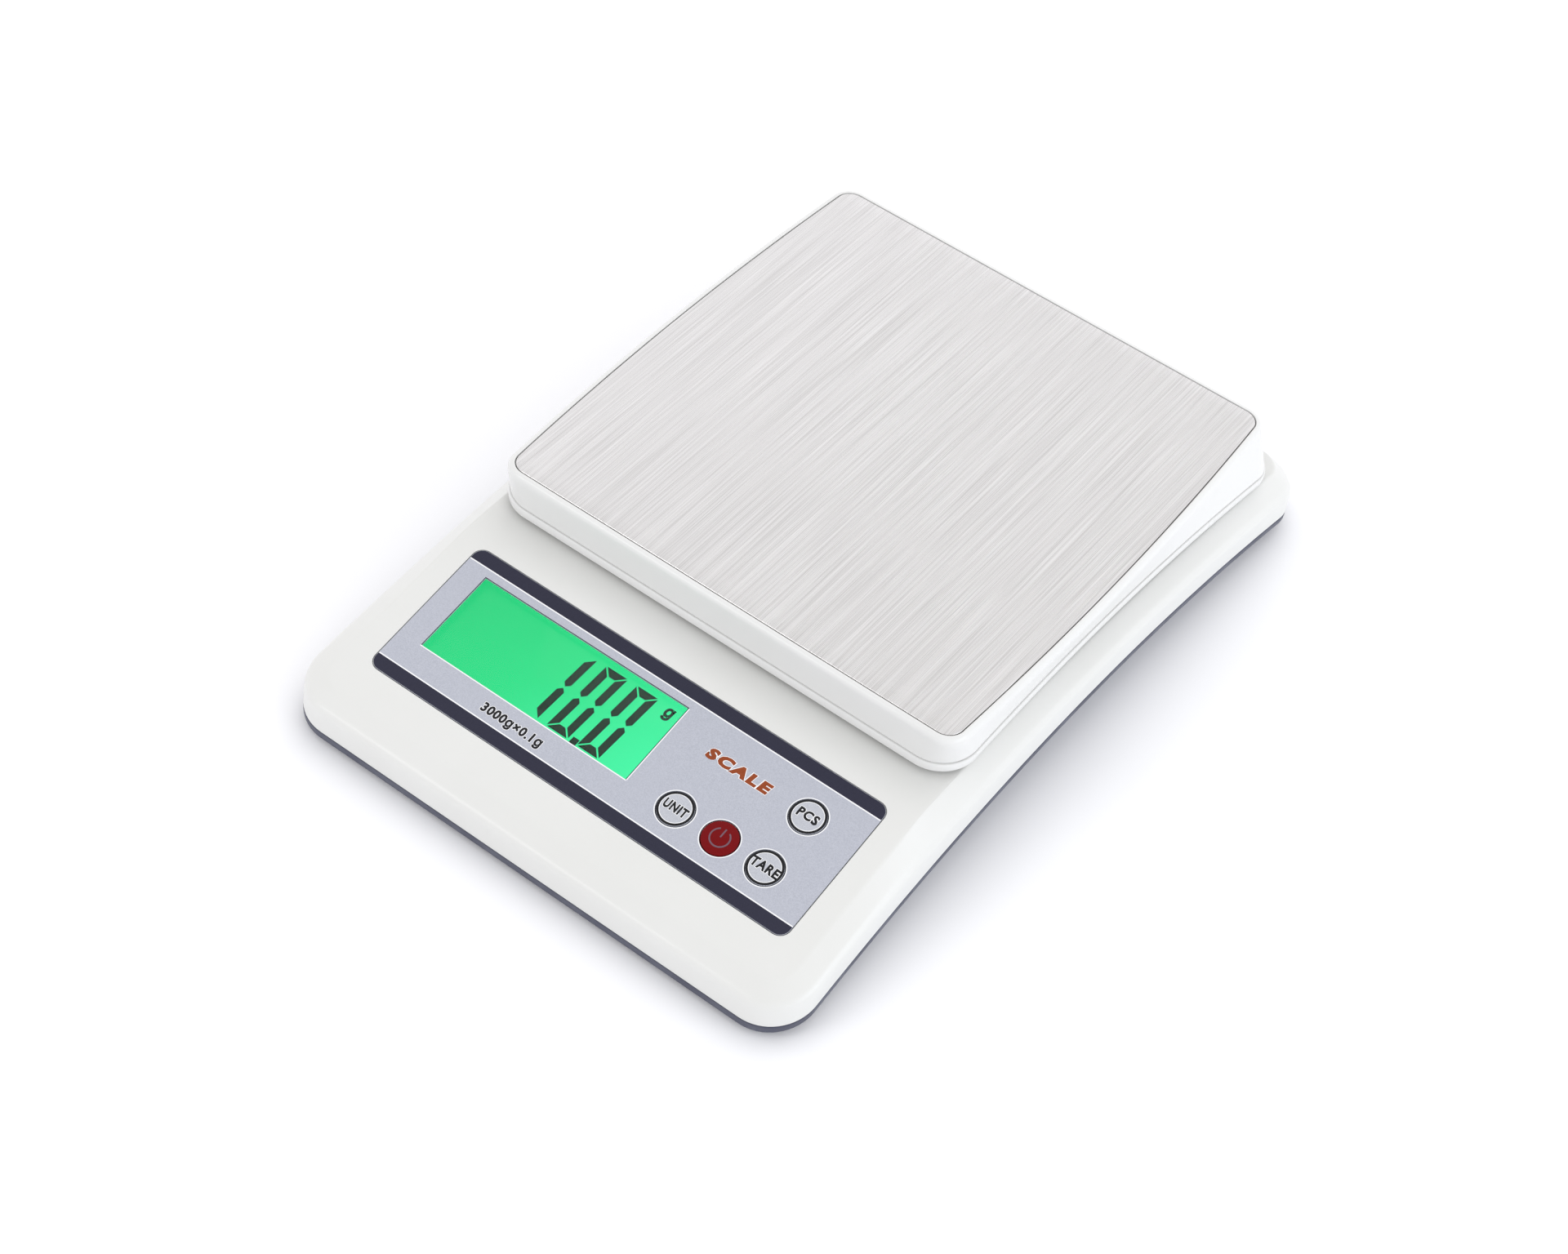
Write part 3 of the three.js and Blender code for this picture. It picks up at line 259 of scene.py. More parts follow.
def buildEdgeWear():
    # handled edges: bright where the form turns outwards, broken up by noise
    group, given, result = makeGroup("edgeWear", [("Reach", 0.06), ("Breakup", 120.0)], ["Mask"])
    form = addNode(group, "ShaderNodeNewGeometry")
    spots = objectNoise(group, {"Detail": 5.0}, given.outputs["Breakup"])
    reach = addNode(group, "ShaderNodeMath", {"operation": "ADD"}, {1: 0.51})
    edge = addNode(group, "ShaderNodeMapRange", None, {"From Min": 0.51, "To Min": 0.0, "To Max": 1.0})
    joinSockets(
        group,
        (given.outputs["Reach"], reach.inputs[0]), (reach.outputs[0], edge.inputs["From Max"]),
        (form.outputs["Pointiness"], edge.inputs["Value"]))
    broken = remap(group, spots.outputs["Fac"], 0.0, 1.0, 0.4, 0.6)
    joinSockets(group, (multiply(group, edge.outputs["Result"], broken), result.inputs["Mask"]))
    return group


def buildBrushedGrain():
    # long scratches from front to back, two widths laid over each other
    group, given, result = makeGroup(
        "brushedGrain", [("Across", 5200.0), ("Along", 34.0), ("Coarse", 900.0)], ["Height", "Streak"])
    place = addNode(group, "ShaderNodeTexCoord")
    layers = []
    for across, alongShare in (("Across", 1.0), ("Coarse", 0.45)):
        stretch = addNode(group, "ShaderNodeCombineXYZ", None, {"Z": 1.0})
        along = addNode(group, "ShaderNodeMath", {"operation": "MULTIPLY"}, {1: alongShare})
        size = addNode(group, "ShaderNodeVectorMath", {"operation": "MULTIPLY"})
        noise = addNode(group, "ShaderNodeTexNoise", None, {"Scale": 1.0, "Detail": 2.0, "Roughness": 0.7})
        joinSockets(
            group,
            (given.outputs[across], stretch.inputs["X"]), (given.outputs["Along"], along.inputs[0]),
            (along.outputs[0], stretch.inputs["Y"]), (place.outputs["Object"], size.inputs[0]),
            (stretch.outputs[0], size.inputs[1]), (size.outputs[0], noise.inputs["Vector"]))
        layers.append(noise.outputs["Fac"])
    both = addNode(group, "ShaderNodeMix", {"data_type": "FLOAT"}, {"Factor": 0.42})
    joinSockets(
        group,
        (layers[0], both.inputs["A"]), (layers[1], both.inputs["B"]),
        (both.outputs["Result"], result.inputs["Height"]),
        (remap(group, both.outputs["Result"], 0.0, 1.0, 0.39, 0.61), result.inputs["Streak"]))
    return group


def buildMetalFleck():
    # pearl flecks in a silver print
    group, given, result = makeGroup("metalFleck", [("Fleck Size", 5200.0)], ["Fleck", "Cloud"])
    cells = objectNoise(group, None, given.outputs["Fleck Size"], "Voronoi")
    value = addNode(group, "ShaderNodeSeparateColor")
    cloud = objectNoise(group, {"Scale": 60.0, "Detail": 3.0})
    joinSockets(
        group,
        (cells.outputs["Color"], value.inputs["Color"]), (value.outputs[0], result.inputs["Fleck"]),
        (cloud.outputs["Fac"], result.inputs["Cloud"]))
    return group


def buildHandling():
    # smears that change the gloss in soft patches
    group, given, result = makeGroup("handling", [("Patch Size", 38.0)], ["Smear"])
    smear = objectNoise(
        group, {"Detail": 6.0, "Roughness": 0.65, "Distortion": 0.8}, given.outputs["Patch Size"])
    joinSockets(group, (remap(group, smear.outputs["Fac"], 0.0, 1.0, 0.38, 0.66), result.inputs["Smear"]))
    return group


mouldGrain = buildMouldGrain()
edgeWear = buildEdgeWear()
brushedGrain = buildBrushedGrain()
metalFleck = buildMetalFleck()
handling = buildHandling()
print("gram scale: shader groups built")


# --- materials

def startMaterial(name, settings):
    material = bpy.data.materials.new(name)
    material.use_nodes = True
    tree = material.node_tree
    shader = tree.nodes["Principled BSDF"]
    for label, value in settings.items():
        shader.inputs[label].default_value = value
    return material, tree, shader


def placeGroup(tree, group, values=None):
    return addNode(tree, "ShaderNodeGroup", {"node_tree": group}, values)


def blendColours(tree, factor, first, second):
    mix = addNode(tree, "ShaderNodeMix", {"data_type": "RGBA"})
    for socket, value in ((mix.inputs[6], first), (mix.inputs[7], second)):
        if isinstance(value, tuple):
            socket.default_value = (*value, 1.0)
        else:
            tree.links.new(value, socket)
    tree.links.new(factor, mix.inputs["Factor"])
    return mix.outputs[2]


def addBump(tree, shader, height, distance, strength=1.0):
    bump = addNode(tree, "ShaderNodeBump", None, {"Distance": distance * mm, "Strength": strength})
    joinSockets(tree, (height, bump.inputs["Height"]), (bump.outputs["Normal"], shader.inputs["Normal"]))


def mouldedPlastic(name, look):
    # look: colour, shade, rough (low, high), grain (per metre, height mm), and where given
    # worn, reach, coat, tone, glow and bump
    material, tree, shader = startMaterial(name, {
        "IOR": 1.5, "Coat Weight": look.get("coat", 0.0), "Coat Roughness": 0.12,
        "Subsurface Weight": look.get("glow", 0.0), "Subsurface Scale": 0.6 * mm})
    grain = placeGroup(tree, mouldGrain, {"Grain Size": look["grain"][0], "Tone Size": look.get("tone", 26.0)})
    marks = placeGroup(tree, handling)
    toneShare = remap(tree, grain.outputs["Tone"], 0.0, 1.0, 0.3, 0.7)
    body = blendColours(tree, toneShare, look["colour"], look["shade"])
    if "worn" in look:
        wear = placeGroup(tree, edgeWear, {"Reach": look.get("reach", 0.08)})
        wornShare = multiply(tree, wear.outputs["Mask"], remap(tree, grain.outputs["Tone"], 0.3, 0.7))
        body = blendColours(tree, wornShare, body, look["worn"])
    joinSockets(
        tree,
        (body, shader.inputs["Base Color"]),
        (remap(tree, marks.outputs["Smear"], *look["rough"]), shader.inputs["Roughness"]))
    addBump(tree, shader, grain.outputs["Height"], look["grain"][1], look.get("bump", 0.6))
    return material


def metalFinish(name, look):
    # look: colour, shade, rough (low, high), across, along, height mm; coarse, smear, bump if given
    material, tree, shader = startMaterial(name, {"Metallic": 1.0})
    grain = placeGroup(tree, brushedGrain, {
        "Across": look["across"], "Along": look["along"], "Coarse": look.get("coarse", 700.0)})
    marks = placeGroup(tree, handling, {"Patch Size": 30.0})
    tint = blendColours(tree, grain.outputs["Streak"], look["shade"], look["colour"])
    streaky = remap(tree, grain.outputs["Streak"], *look["rough"])
    smeared = addNode(tree, "ShaderNodeMath", {"operation": "ADD"})
    joinSockets(
        tree,
        (tint, shader.inputs["Base Color"]), (streaky, smeared.inputs[0]),
        (remap(tree, marks.outputs["Smear"], 0.0, look.get("smear", 0.05)), smeared.inputs[1]),
        (smeared.outputs[0], shader.inputs["Roughness"]))
    addBump(tree, shader, grain.outputs["Height"], look["height"], look.get("bump", 0.5))
    return material


def printedFilm(name, look):
    material, tree, shader = startMaterial(name, {
        "Metallic": look.get("metal", 0.0), "Coat Weight": look.get("coat", 0.0), "Coat Roughness": 0.25,
        "Specular IOR Level": look.get("gloss", 0.5)})
    fleck = placeGroup(tree, metalFleck, {"Fleck Size": look.get("fleck", 5200.0)})
    marks = placeGroup(tree, handling, {"Patch Size": 60.0})
    pearl = blendColours(tree, fleck.outputs["Fleck"], look["shade"], look["colour"])
    cloudy = blendColours(tree, remap(tree, fleck.outputs["Cloud"], 0.0, 0.35, 0.35, 0.7), pearl, look["cloud"])
    joinSockets(
        tree,
        (cloudy, shader.inputs["Base Color"]),
        (remap(tree, marks.outputs["Smear"], *look["rough"]), shader.inputs["Roughness"]))
    addBump(tree, shader, fleck.outputs["Fleck"], look.get("height", 0.004), 0.35)
    return material


def inkPrint(name, colour, shade, rough=(0.42, 0.55)):
    return printedFilm(name, {
        "colour": colour, "shade": shade, "cloud": colour, "rough": rough, "fleck": 9000.0, "height": 0.002,
        "gloss": 0.22})


plasticLooks = {
    "shellWhite": {"colour": (0.712, 0.712, 0.695), "shade": (0.694, 0.694, 0.674),
                   "rough": (0.31, 0.36), "grain": (3200.0, 0.010), "coat": 0.1},
    "trayWhite": {"colour": (0.735, 0.735, 0.725), "shade": (0.722, 0.722, 0.710),
                  "rough": (0.24, 0.27), "grain": (3600.0, 0.006), "coat": 0.15},
    "baseDark": {"colour": (0.062, 0.066, 0.100), "shade": (0.056, 0.060, 0.092), "worn": (0.11, 0.117, 0.155),
                 "rough": (0.45, 0.52), "grain": (2400.0, 0.020), "bump": 0.8, "reach": 0.05},
    "framePlastic": {"colour": (0.70, 0.70, 0.68), "shade": (0.62, 0.62, 0.60), "worn": (0.8, 0.8, 0.78),
                     "rough": (0.45, 0.6), "grain": (2800.0, 0.012)},
    "carrierWhite": {"colour": (0.62, 0.62, 0.60), "shade": (0.53, 0.53, 0.51), "worn": (0.7, 0.7, 0.68),
                     "rough": (0.5, 0.66), "grain": (1500.0, 0.03), "tone": 60.0},
    "chipBlack": {"colour": (0.020, 0.020, 0.022), "shade": (0.012, 0.012, 0.013), "worn": (0.09, 0.09, 0.09),
                  "rough": (0.4, 0.6), "grain": (9000.0, 0.01)},
    "footRubber": {"colour": (0.030, 0.031, 0.035), "shade": (0.020, 0.021, 0.024), "worn": (0.11, 0.11, 0.115),
                   "rough": (0.62, 0.8), "grain": (2200.0, 0.03), "bump": 1.0},
    "padRubber": {"colour": (0.050, 0.050, 0.054), "shade": (0.030, 0.030, 0.034), "worn": (0.12, 0.12, 0.125),
                  "rough": (0.6, 0.78), "grain": (2600.0, 0.03), "bump": 1.0},
    "zebraRubber": {"colour": (0.60, 0.22, 0.30), "shade": (0.42, 0.13, 0.2), "worn": (0.7, 0.4, 0.45),
                    "rough": (0.5, 0.65), "grain": (6000.0, 0.02), "tone": 1500.0},
    "foamTape": {"colour": (0.72, 0.68, 0.56), "shade": (0.62, 0.57, 0.45), "worn": (0.8, 0.77, 0.68),
                 "rough": (0.7, 0.85), "grain": (1800.0, 0.05), "bump": 1.0},
    "leadRed": {"colour": (0.50, 0.014, 0.012), "shade": (0.36, 0.01, 0.01), "worn": (0.6, 0.1, 0.09),
                "rough": (0.35, 0.5), "grain": (1400.0, 0.02)},
    "leadBlack": {"colour": (0.018, 0.018, 0.02), "shade": (0.01, 0.01, 0.011), "worn": (0.08, 0.08, 0.08),
                  "rough": (0.35, 0.5), "grain": (1400.0, 0.02)},
    "leadGrey": {"colour": (0.26, 0.27, 0.29), "shade": (0.19, 0.2, 0.22), "worn": (0.4, 0.4, 0.42),
                 "rough": (0.4, 0.55), "grain": (1400.0, 0.02)},
    "backlightGuide": {"colour": (0.30, 0.85, 0.5), "shade": (0.2, 0.7, 0.4), "worn": (0.5, 0.9, 0.7),
                       "rough": (0.3, 0.45), "grain": (1200.0, 0.02), "glow": 0.2},
}
metalLooks = {
    "plateSteel": {"colour": (0.86, 0.845, 0.84), "shade": (0.66, 0.645, 0.64), "rough": (0.18, 0.32),
                   "across": 5600.0, "along": 24.0, "coarse": 1700.0, "height": 0.010, "smear": 0.04,
                   "bump": 0.7},
    "machinedAlloy": {"colour": (0.72, 0.73, 0.75), "shade": (0.60, 0.61, 0.63), "rough": (0.26, 0.42),
                      "across": 2600.0, "along": 300.0, "height": 0.012, "smear": 0.08},
    "screwNickel": {"colour": (0.66, 0.65, 0.63), "shade": (0.5, 0.5, 0.49), "rough": (0.18, 0.34),
                    "across": 3000.0, "along": 1500.0, "height": 0.008, "smear": 0.1},
    "contactNickel": {"colour": (0.76, 0.755, 0.73), "shade": (0.62, 0.61, 0.58), "rough": (0.16, 0.3),
                      "across": 1800.0, "along": 900.0, "height": 0.006, "smear": 0.1},
}
materials = {name: mouldedPlastic(name, look) for name, look in plasticLooks.items()}
materials.update({name: metalFinish(name, look) for name, look in metalLooks.items()})
materials["silverFilm"] = printedFilm("silverFilm", {
    "colour": (0.50, 0.515, 0.58), "shade": (0.41, 0.425, 0.485), "cloud": (0.455, 0.47, 0.53),
    "rough": (0.36, 0.48), "metal": 0.2, "gloss": 0.35})
materials["keyFilm"] = printedFilm("keyFilm", {
    "colour": (0.56, 0.575, 0.625), "shade": (0.46, 0.475, 0.525), "cloud": (0.51, 0.525, 0.58),
    "rough": (0.24, 0.34), "metal": 0.35, "coat": 0.1, "height": 0.003})
materials["powerFilm"] = printedFilm("powerFilm", {
    "colour": (0.185, 0.002, 0.004), "shade": (0.145, 0.001, 0.002), "cloud": (0.165, 0.001, 0.003),
    "rough": (0.3, 0.42), "gloss": 0.12, "fleck": 7000.0, "height": 0.002})
materials["stripeInk"] = inkPrint("stripeInk", (0.026, 0.026, 0.048), (0.019, 0.019, 0.037), (0.38, 0.5))
materials["blackInk"] = inkPrint("blackInk", (0.010, 0.010, 0.012), (0.006, 0.006, 0.008))
materials["whiteInk"] = inkPrint("whiteInk", (0.86, 0.86, 0.87), (0.80, 0.80, 0.81))
materials["copperInk"] = inkPrint("copperInk", (0.30, 0.062, 0.014), (0.235, 0.044, 0.009))
materials["iconInk"] = inkPrint("iconInk", (0.17, 0.095, 0.125), (0.14, 0.075, 0.10))
materials["segmentInk"] = inkPrint("segmentInk", (0.012, 0.040, 0.024), (0.008, 0.028, 0.016), (0.3, 0.4))
materials["sleeveBlue"] = printedFilm("sleeveBlue", {
    "colour": (0.035, 0.10, 0.30), "shade": (0.025, 0.075, 0.24), "cloud": (0.03, 0.085, 0.27),
    "rough": (0.2, 0.3), "metal": 0.6, "coat": 0.6, "fleck": 6000.0})
materials["sleeveGold"] = printedFilm("sleeveGold", {
    "colour": (0.62, 0.42, 0.16), "shade": (0.5, 0.33, 0.12), "cloud": (0.56, 0.38, 0.14),
    "rough": (0.2, 0.3), "metal": 0.8, "coat": 0.6, "fleck": 6000.0})
print("gram scale: plastics, metals and inks ready")


# --- the forms that the mouldings share

shellLow, shellHigh = boxMm("top_shell")
plateLow, plateHigh = boxMm("steel_plate")
cellLow, cellHigh = boxMm("load_cell")
overlayLow, overlayHigh = boxMm("panel_overlay")
doorLow, doorHigh = boxMm("battery_door")
footHigh = boxMm("foot_front_left")[1]

housing = {
    "waistHalf": 77.2, "waistSetback": 74.2, "rearFlare": 4.3, "frontRadius": 12.8, "rearRadius": 14.0,
    "seamEnd": 4.2, "archRise": 11.2, "seamGap": 0.3, "wall": 2.2, "deck": 2.4, "wallHeight": 7.7,
    "shoulder": 0.6, "facet": 6.4, "crownBeforeCell": 7.35, "crownAboveCell": 6.7, "crownDrop": 0.87,
    "deckRear": 19.4, "deckRearSetback": 14.4, "crease": 0.25, "cornerSteps": 16, "sideSteps": 72}
panel = {"tilt": math.radians(11.675), "depth": 43.1, "sheet": 0.5, "radius": 2.9, "halfWidth": overlayHigh.x}
bodyFront, bodyBack = shellLow.y, shellHigh.y
panel["front"] = overlayLow.y
panel["frontZ"] = overlayHigh.z - panel["depth"] * math.sin(panel["tilt"])
panel["back"] = panel["front"] + panel["depth"] * math.cos(panel["tilt"])
panelPlace = (Matrix.Translation((0, panel["front"], panel["frontZ"]))
              @ Matrix.Rotation(panel["tilt"], 4, "X"))
crownY = cellLow.y - housing["crownBeforeCell"]
crownTop = cellHigh.z + housing["crownAboveCell"]


def bodyHalf(y):
    waistY = bodyFront + housing["waistSetback"]
    return housing["waistHalf"] + housing["rearFlare"] * ((y - waistY) / (bodyBack - waistY)) ** 2


def seamZ(y):
    return housing["seamEnd"] + housing["archRise"] * (1 - (y / bodyBack) ** 2)


def crestZ(y):
    return seamZ(y) + housing["wallHeight"]


def deckZ(y):
    plane = panel["frontZ"] + math.tan(panel["tilt"]) * (y - panel["front"])
    if y < crownY:
        fall = housing["crownDrop"] * ((y - crownY) / (crownY - panel["back"])) ** 2
    else:
        rear = bodyBack - housing["deckRearSetback"]
        fall = (crownTop - housing["deckRear"]) * ((y - crownY) / (rear - crownY)) ** 2
    crown = crownTop - fall
    soft = housing["crease"]
    return min(plane, crown) - soft * math.log(1 + math.exp(-abs(plane - crown) / soft))


def facetZ(y, inset):
    # sloped facet and deck, with the crease between them rounded
    share = (inset - housing["shoulder"]) / (housing["facet"] - housing["shoulder"])
    facet = crestZ(y) + share * (deckZ(y) - crestZ(y))
    soft = 0.10
    gap = abs(facet - deckZ(y)) / soft
    return min(facet, deckZ(y)) - soft * math.log(1 + math.exp(-min(gap, 60)))


def outlineHalf(form, inset):
    # right half, from the middle of the front edge round to the back edge
    front = max(form["frontRadius"] - inset, 0.6)
    rear = max(form["rearRadius"] - inset, 0.6)
    startY = form["front"] + inset + front
    endY = form["back"] - inset - rear
    steps = housing["cornerSteps"]
    points = circle(front, (form["half"](startY) - inset - front, startY), steps, -90, 90)
    for share in form["stations"]:
        y = startY + share * (endY - startY)
        points.append((form["half"](y) - inset, y))
    return points + circle(rear, (form["half"](endY) - inset - rear, endY), steps, 0, 90)


def ringLoop(points, height):
    lifted = [(x, y, height(y) if callable(height) else height) for x, y in points]
    return lifted + [(-x, y, z) for x, y, z in reversed(lifted)]


def ringShape(loops):
    # loops joined into one closed body; each end is closed by strips from left to right
    size = len(loops[0])
    half = size // 2
    points = [p for loop in loops for p in loop]
    faces = []
    for low in range(0, (len(loops) - 1) * size, size):
        for i in range(size):
            j = (i + 1) % size
            faces.append((low + i, low + j, low + size + j, low + size + i))
    for base in (0, (len(loops) - 1) * size):
        for i in range(half - 1):
            faces.append((base + i, base + i + 1, base + size - 2 - i, base + size - 1 - i))
    return points, faces


sideShares = {i / housing["sideSteps"] for i in range(1, housing["sideSteps"])}
sideShares |= {0.185 + 0.0035 * i for i in range(22)}  # closer stations where the tilted deck meets the crown
bodyForm = {
    "front": bodyFront, "back": bodyBack, "half": bodyHalf, "frontRadius": housing["frontRadius"],
    "rearRadius": housing["rearRadius"], "stations": sorted(sideShares)}
plateMiddle = (plateLow.y + plateHigh.y) / 2
plateReach = (plateHigh.y - plateLow.y) / 2
plate = {"corner": 4.5, "sideBow": 2.4}
plateForm = {
    "front": plateLow.y, "back": plateHigh.y, "frontRadius": plate["corner"], "rearRadius": plate["corner"],
    "half": lambda y: plateHigh.x - plate["sideBow"] * ((y - plateMiddle) / plateReach) ** 2,
    "stations": [i / 44 for i in range(1, 44)]}


# --- top shell

def bodyRing(inset, height):
    return ringLoop(outlineHalf(bodyForm, inset), height)


topShell = {
    "recessGap": 0.3, "recessDepth": 0.8, "windowGap": 0.8, "keyHole": 5.0, "spacerHalf": 10,
    "spacerRear": 2.5, "spacerFront": 27, "bossRadius": 3.1, "bossBottom": 9.3, "edge": 0.25}
display = {"left": -56.8, "right": 7.8, "front": 11.8, "back": 36.6}
keyPlaces = {"unit": (22.6, 12.5), "power": (36.0, 12.5), "tare": (49.4, 12.5), "pcs": (49.4, 29.6)}
caseScrews = {}
for name in nodes:
    if name.startswith("case_screw"):
        low, high = boxMm(name)
        caseScrews[name] = ((low.x + high.x) / 2, (low.y + high.y) / 2)


def onPanel(shape):
    return moved(shape, panelPlace)


def buildTopShell():
    form = topShell
    shellSeam = lambda y: seamZ(y) + housing["seamGap"] / 2
    wall = housing["wall"]
    edge = form["edge"]
    loops = [
        bodyRing(housing["facet"] + 1.2, lambda y: deckZ(y) - housing["deck"]),
        bodyRing(wall + 0.7, lambda y: crestZ(y) - 2),
        bodyRing(wall, lambda y: shellSeam(y) + 3.2),
        bodyRing(wall, shellSeam),
        bodyRing(edge, shellSeam),
        bodyRing(edge * 0.3, lambda y: shellSeam(y) + edge * 0.3),
        bodyRing(0, lambda y: shellSeam(y) + edge),
        bodyRing(0.14, lambda y: shellSeam(y) + 3.0),
        bodyRing(0.30, lambda y: crestZ(y) - 2.1),
        bodyRing(0.38, lambda y: crestZ(y) - 1.45),
        bodyRing(0.50, lambda y: crestZ(y) - 0.95),
        bodyRing(0.70, lambda y: crestZ(y) - 0.55),
        bodyRing(0.98, lambda y: crestZ(y) - 0.22),
        bodyRing(1.35, lambda y: facetZ(y, 1.35) - 0.12)]
    for inset in (1.9, 2.8, 3.8, 4.8, 5.4, 5.8, 6.1, 6.4, 6.8, 7.3, 8.2):
        loops.append(bodyRing(inset, lambda y, inset=inset: facetZ(y, inset)))
    obj = makeObject("topShell", [ringShape(loops)])
    gap = form["recessGap"]
    halfWidth = panel["halfWidth"] + gap
    recess = roundedOutline((-halfWidth, halfWidth), (-gap, panel["depth"] + gap), panel["radius"] + gap)
    bosses = [rodShape(form["bossRadius"], place, (form["bossBottom"], deckZ(place[1]) - 1.2))
              for place in caseScrews.values()]
    combine(obj, bosses, "UNION")
    combine(obj, [onPanel(prismShape(recess, (-form["recessDepth"], 3)))], "DIFFERENCE")
    gap = form["windowGap"]
    cuts = [onPanel(blockShape(
        (display["left"] - gap, display["right"] + gap),
        (display["front"] - gap, display["back"] + gap), (-4, 1)))]
    cuts += [onPanel(rodShape(form["keyHole"], place, (-4, 1), 56)) for place in keyPlaces.values()]
    cuts.append(blockShape(
        (-form["spacerHalf"], form["spacerHalf"]),
        (cellHigh.y - form["spacerFront"], cellHigh.y + form["spacerRear"]), (cellHigh.z, 30)))
    cuts += [rodShape(1.7, place, (0, 14.3), 24) for place in caseScrews.values()]
    combine(obj, cuts, "DIFFERENCE")
    tidyShading(obj, 24)
    fitPiece(obj, materials["shellWhite"], "housing", ["top_shell"])


buildTopShell()
print("gram scale: top shell")


# --- base, battery box, feet and screws

base = {
    "clearance": 1.6, "floor": 2.0, "tubInset": 7.0, "lip": 2.3, "tongueHeight": 2.2, "tongue": 1.4,
    "footRecess": 0.6, "footRadius": 6.5, "boxHalf": doorHigh.x + 0.3, "boxWall": 1.5, "boxRearSetback": 14.4,
    "bossRadius": 4.5, "bossTop": 9.0, "screwHole": 3.3, "seat": 4.2}
boxBack = bodyBack - base["boxRearSetback"]
boxFront = doorLow.y + 1.5 + 0.6
boxTop = boxMm("battery_1")[1].z + 0.3 + base["boxWall"]
feet = [name for name in nodes if name.startswith("foot_")]


def camel(words, first=True):
    parts = words.split("_")
    return "".join(part.capitalize() if i or first else part for i, part in enumerate(parts))


def centreOf(node):
    low, high = boxMm(node)
    return (low.x + high.x) / 2, (low.y + high.y) / 2


def buildBase():
    form = base
    seam = lambda y: seamZ(y) - housing["seamGap"] / 2
    lipBottom = lambda y: seam(y) - form["lip"]
    tubFloor = form["clearance"] + form["floor"]
    tongueOut = housing["wall"] + 0.3
    tongueIn = tongueOut + form["tongue"]
    tub = form["tubInset"]
    loops = [
        bodyRing(tub + 0.9, form["clearance"]),
        bodyRing(tub + 0.35, form["clearance"] + 0.12),
        bodyRing(tub, form["clearance"] + 0.55),
        bodyRing(tub - 0.05, lambda y: lipBottom(y) - 0.02),
        bodyRing(0.55, lipBottom),
        bodyRing(0.16, lambda y: lipBottom(y) + 0.14),
        bodyRing(0.0, lambda y: lipBottom(y) + 0.55),
        bodyRing(0.0, lambda y: seam(y) - 0.2),
        bodyRing(0.2, seam),
        bodyRing(tongueOut, seam),
        bodyRing(tongueOut, lambda y: seam(y) + form["tongueHeight"]),
        bodyRing(tongueIn, lambda y: seam(y) + form["tongueHeight"]),
        bodyRing(tongueIn, lambda y: lipBottom(y) + form["floor"] - 0.1),
        bodyRing(tub + housing["wall"], lambda y: lipBottom(y) + form["floor"] - 0.1),
        bodyRing(tub + housing["wall"] + 0.2, tubFloor)]
    obj = makeObject("baseShell", [ringShape(loops)])
    wall = form["boxWall"]
    boxX = (-form["boxHalf"] - wall, form["boxHalf"] + wall)
    posts = [blockShape(boxX, (boxFront - wall, boxBack + wall), (form["clearance"] + 0.2, boxTop))]
    posts += [rodShape(form["bossRadius"], place, (form["clearance"] + 0.3, form["bossTop"]))
              for place in caseScrews.values()]
    posts.append(blockShape(
        (cellLow.x - 4, cellHigh.x + 4), (cellLow.y - 3, cellLow.y + 26), (2.1, tubFloor + 2)))
    combine(obj, posts, "UNION")
    holes = [blockShape((-form["boxHalf"], form["boxHalf"]), (boxFront, boxBack), (0, boxTop - wall))]
    for place in caseScrews.values():
        holes.append(rodShape(form["screwHole"], place, (0, form["seat"])))
        holes.append(rodShape(1.7, place, (form["seat"] - 0.01, form["bossTop"] + 1)))
    for name in feet:
        recess = (0, form["clearance"] + form["footRecess"])
        holes.append(rodShape(form["footRadius"] + 0.3, centreOf(name), recess, 56))
    for name in ("load_cell_screw_1", "load_cell_screw_2"):
        holes.append(rodShape(3.7, centreOf(name), (0, 4.0)))
        holes.append(rodShape(2.2, centreOf(name), (3.99, 9)))
    combine(obj, holes, "DIFFERENCE")
    slots = [blockShape((side * 14 - 4.3, side * 14 + 4.3), (boxFront - 2.5, boxFront + 1), (3.6, 6.6))
             for side in (-1, 1)]
    slots.append(blockShape((-5, 5), (boxBack - 1, boxBack + 2), (0, 2.6)))
    slots.append(prismShape(roundedOutline((-7.5, 7.5), (boxBack + 1.0, boxBack + 6.5), 2.4), (0, 2.3)))
    combine(obj, slots, "DIFFERENCE")
    tidyShading(obj, 24)
    fitPiece(obj, materials["baseDark"], "housing", ["bottom_shell"])


foot = {"hub": 2.2, "grip": 3.1, "groove": 4.4, "slope": 0.3, "relief": 0.25}


def buildFoot(name):
    # a soft disc with a raised grip ring
    x, y = centreOf(name)
    radius, top = base["footRadius"], footHigh.z
    relief, slope = foot["relief"], foot["slope"]
    profile = [(0, relief), (foot["hub"], relief), (foot["hub"] + slope, 0.0), (foot["grip"], 0.0),
               (foot["grip"] + slope, relief), (foot["groove"], relief), (foot["groove"] + slope, 0.0),
               (radius - 0.7, 0.0), (radius - 0.2, 0.18), (radius, 0.6), (radius, top), (0, top)]
    shape = moved(latheShape(profile, 56), Matrix.Translation((x, y, 0)))
    addPiece(
        f"rubberFoot{camel(name[5:])}", [shape], materials["footRubber"], "housing", [name])


screw = {"shank": 0.48, "head": 0.62, "headMost": 2.2, "pitch": 0.9, "root": 0.84, "point": 1.2,
         "slotDepth": 1.0, "arm": 0.58, "slot": 0.13}


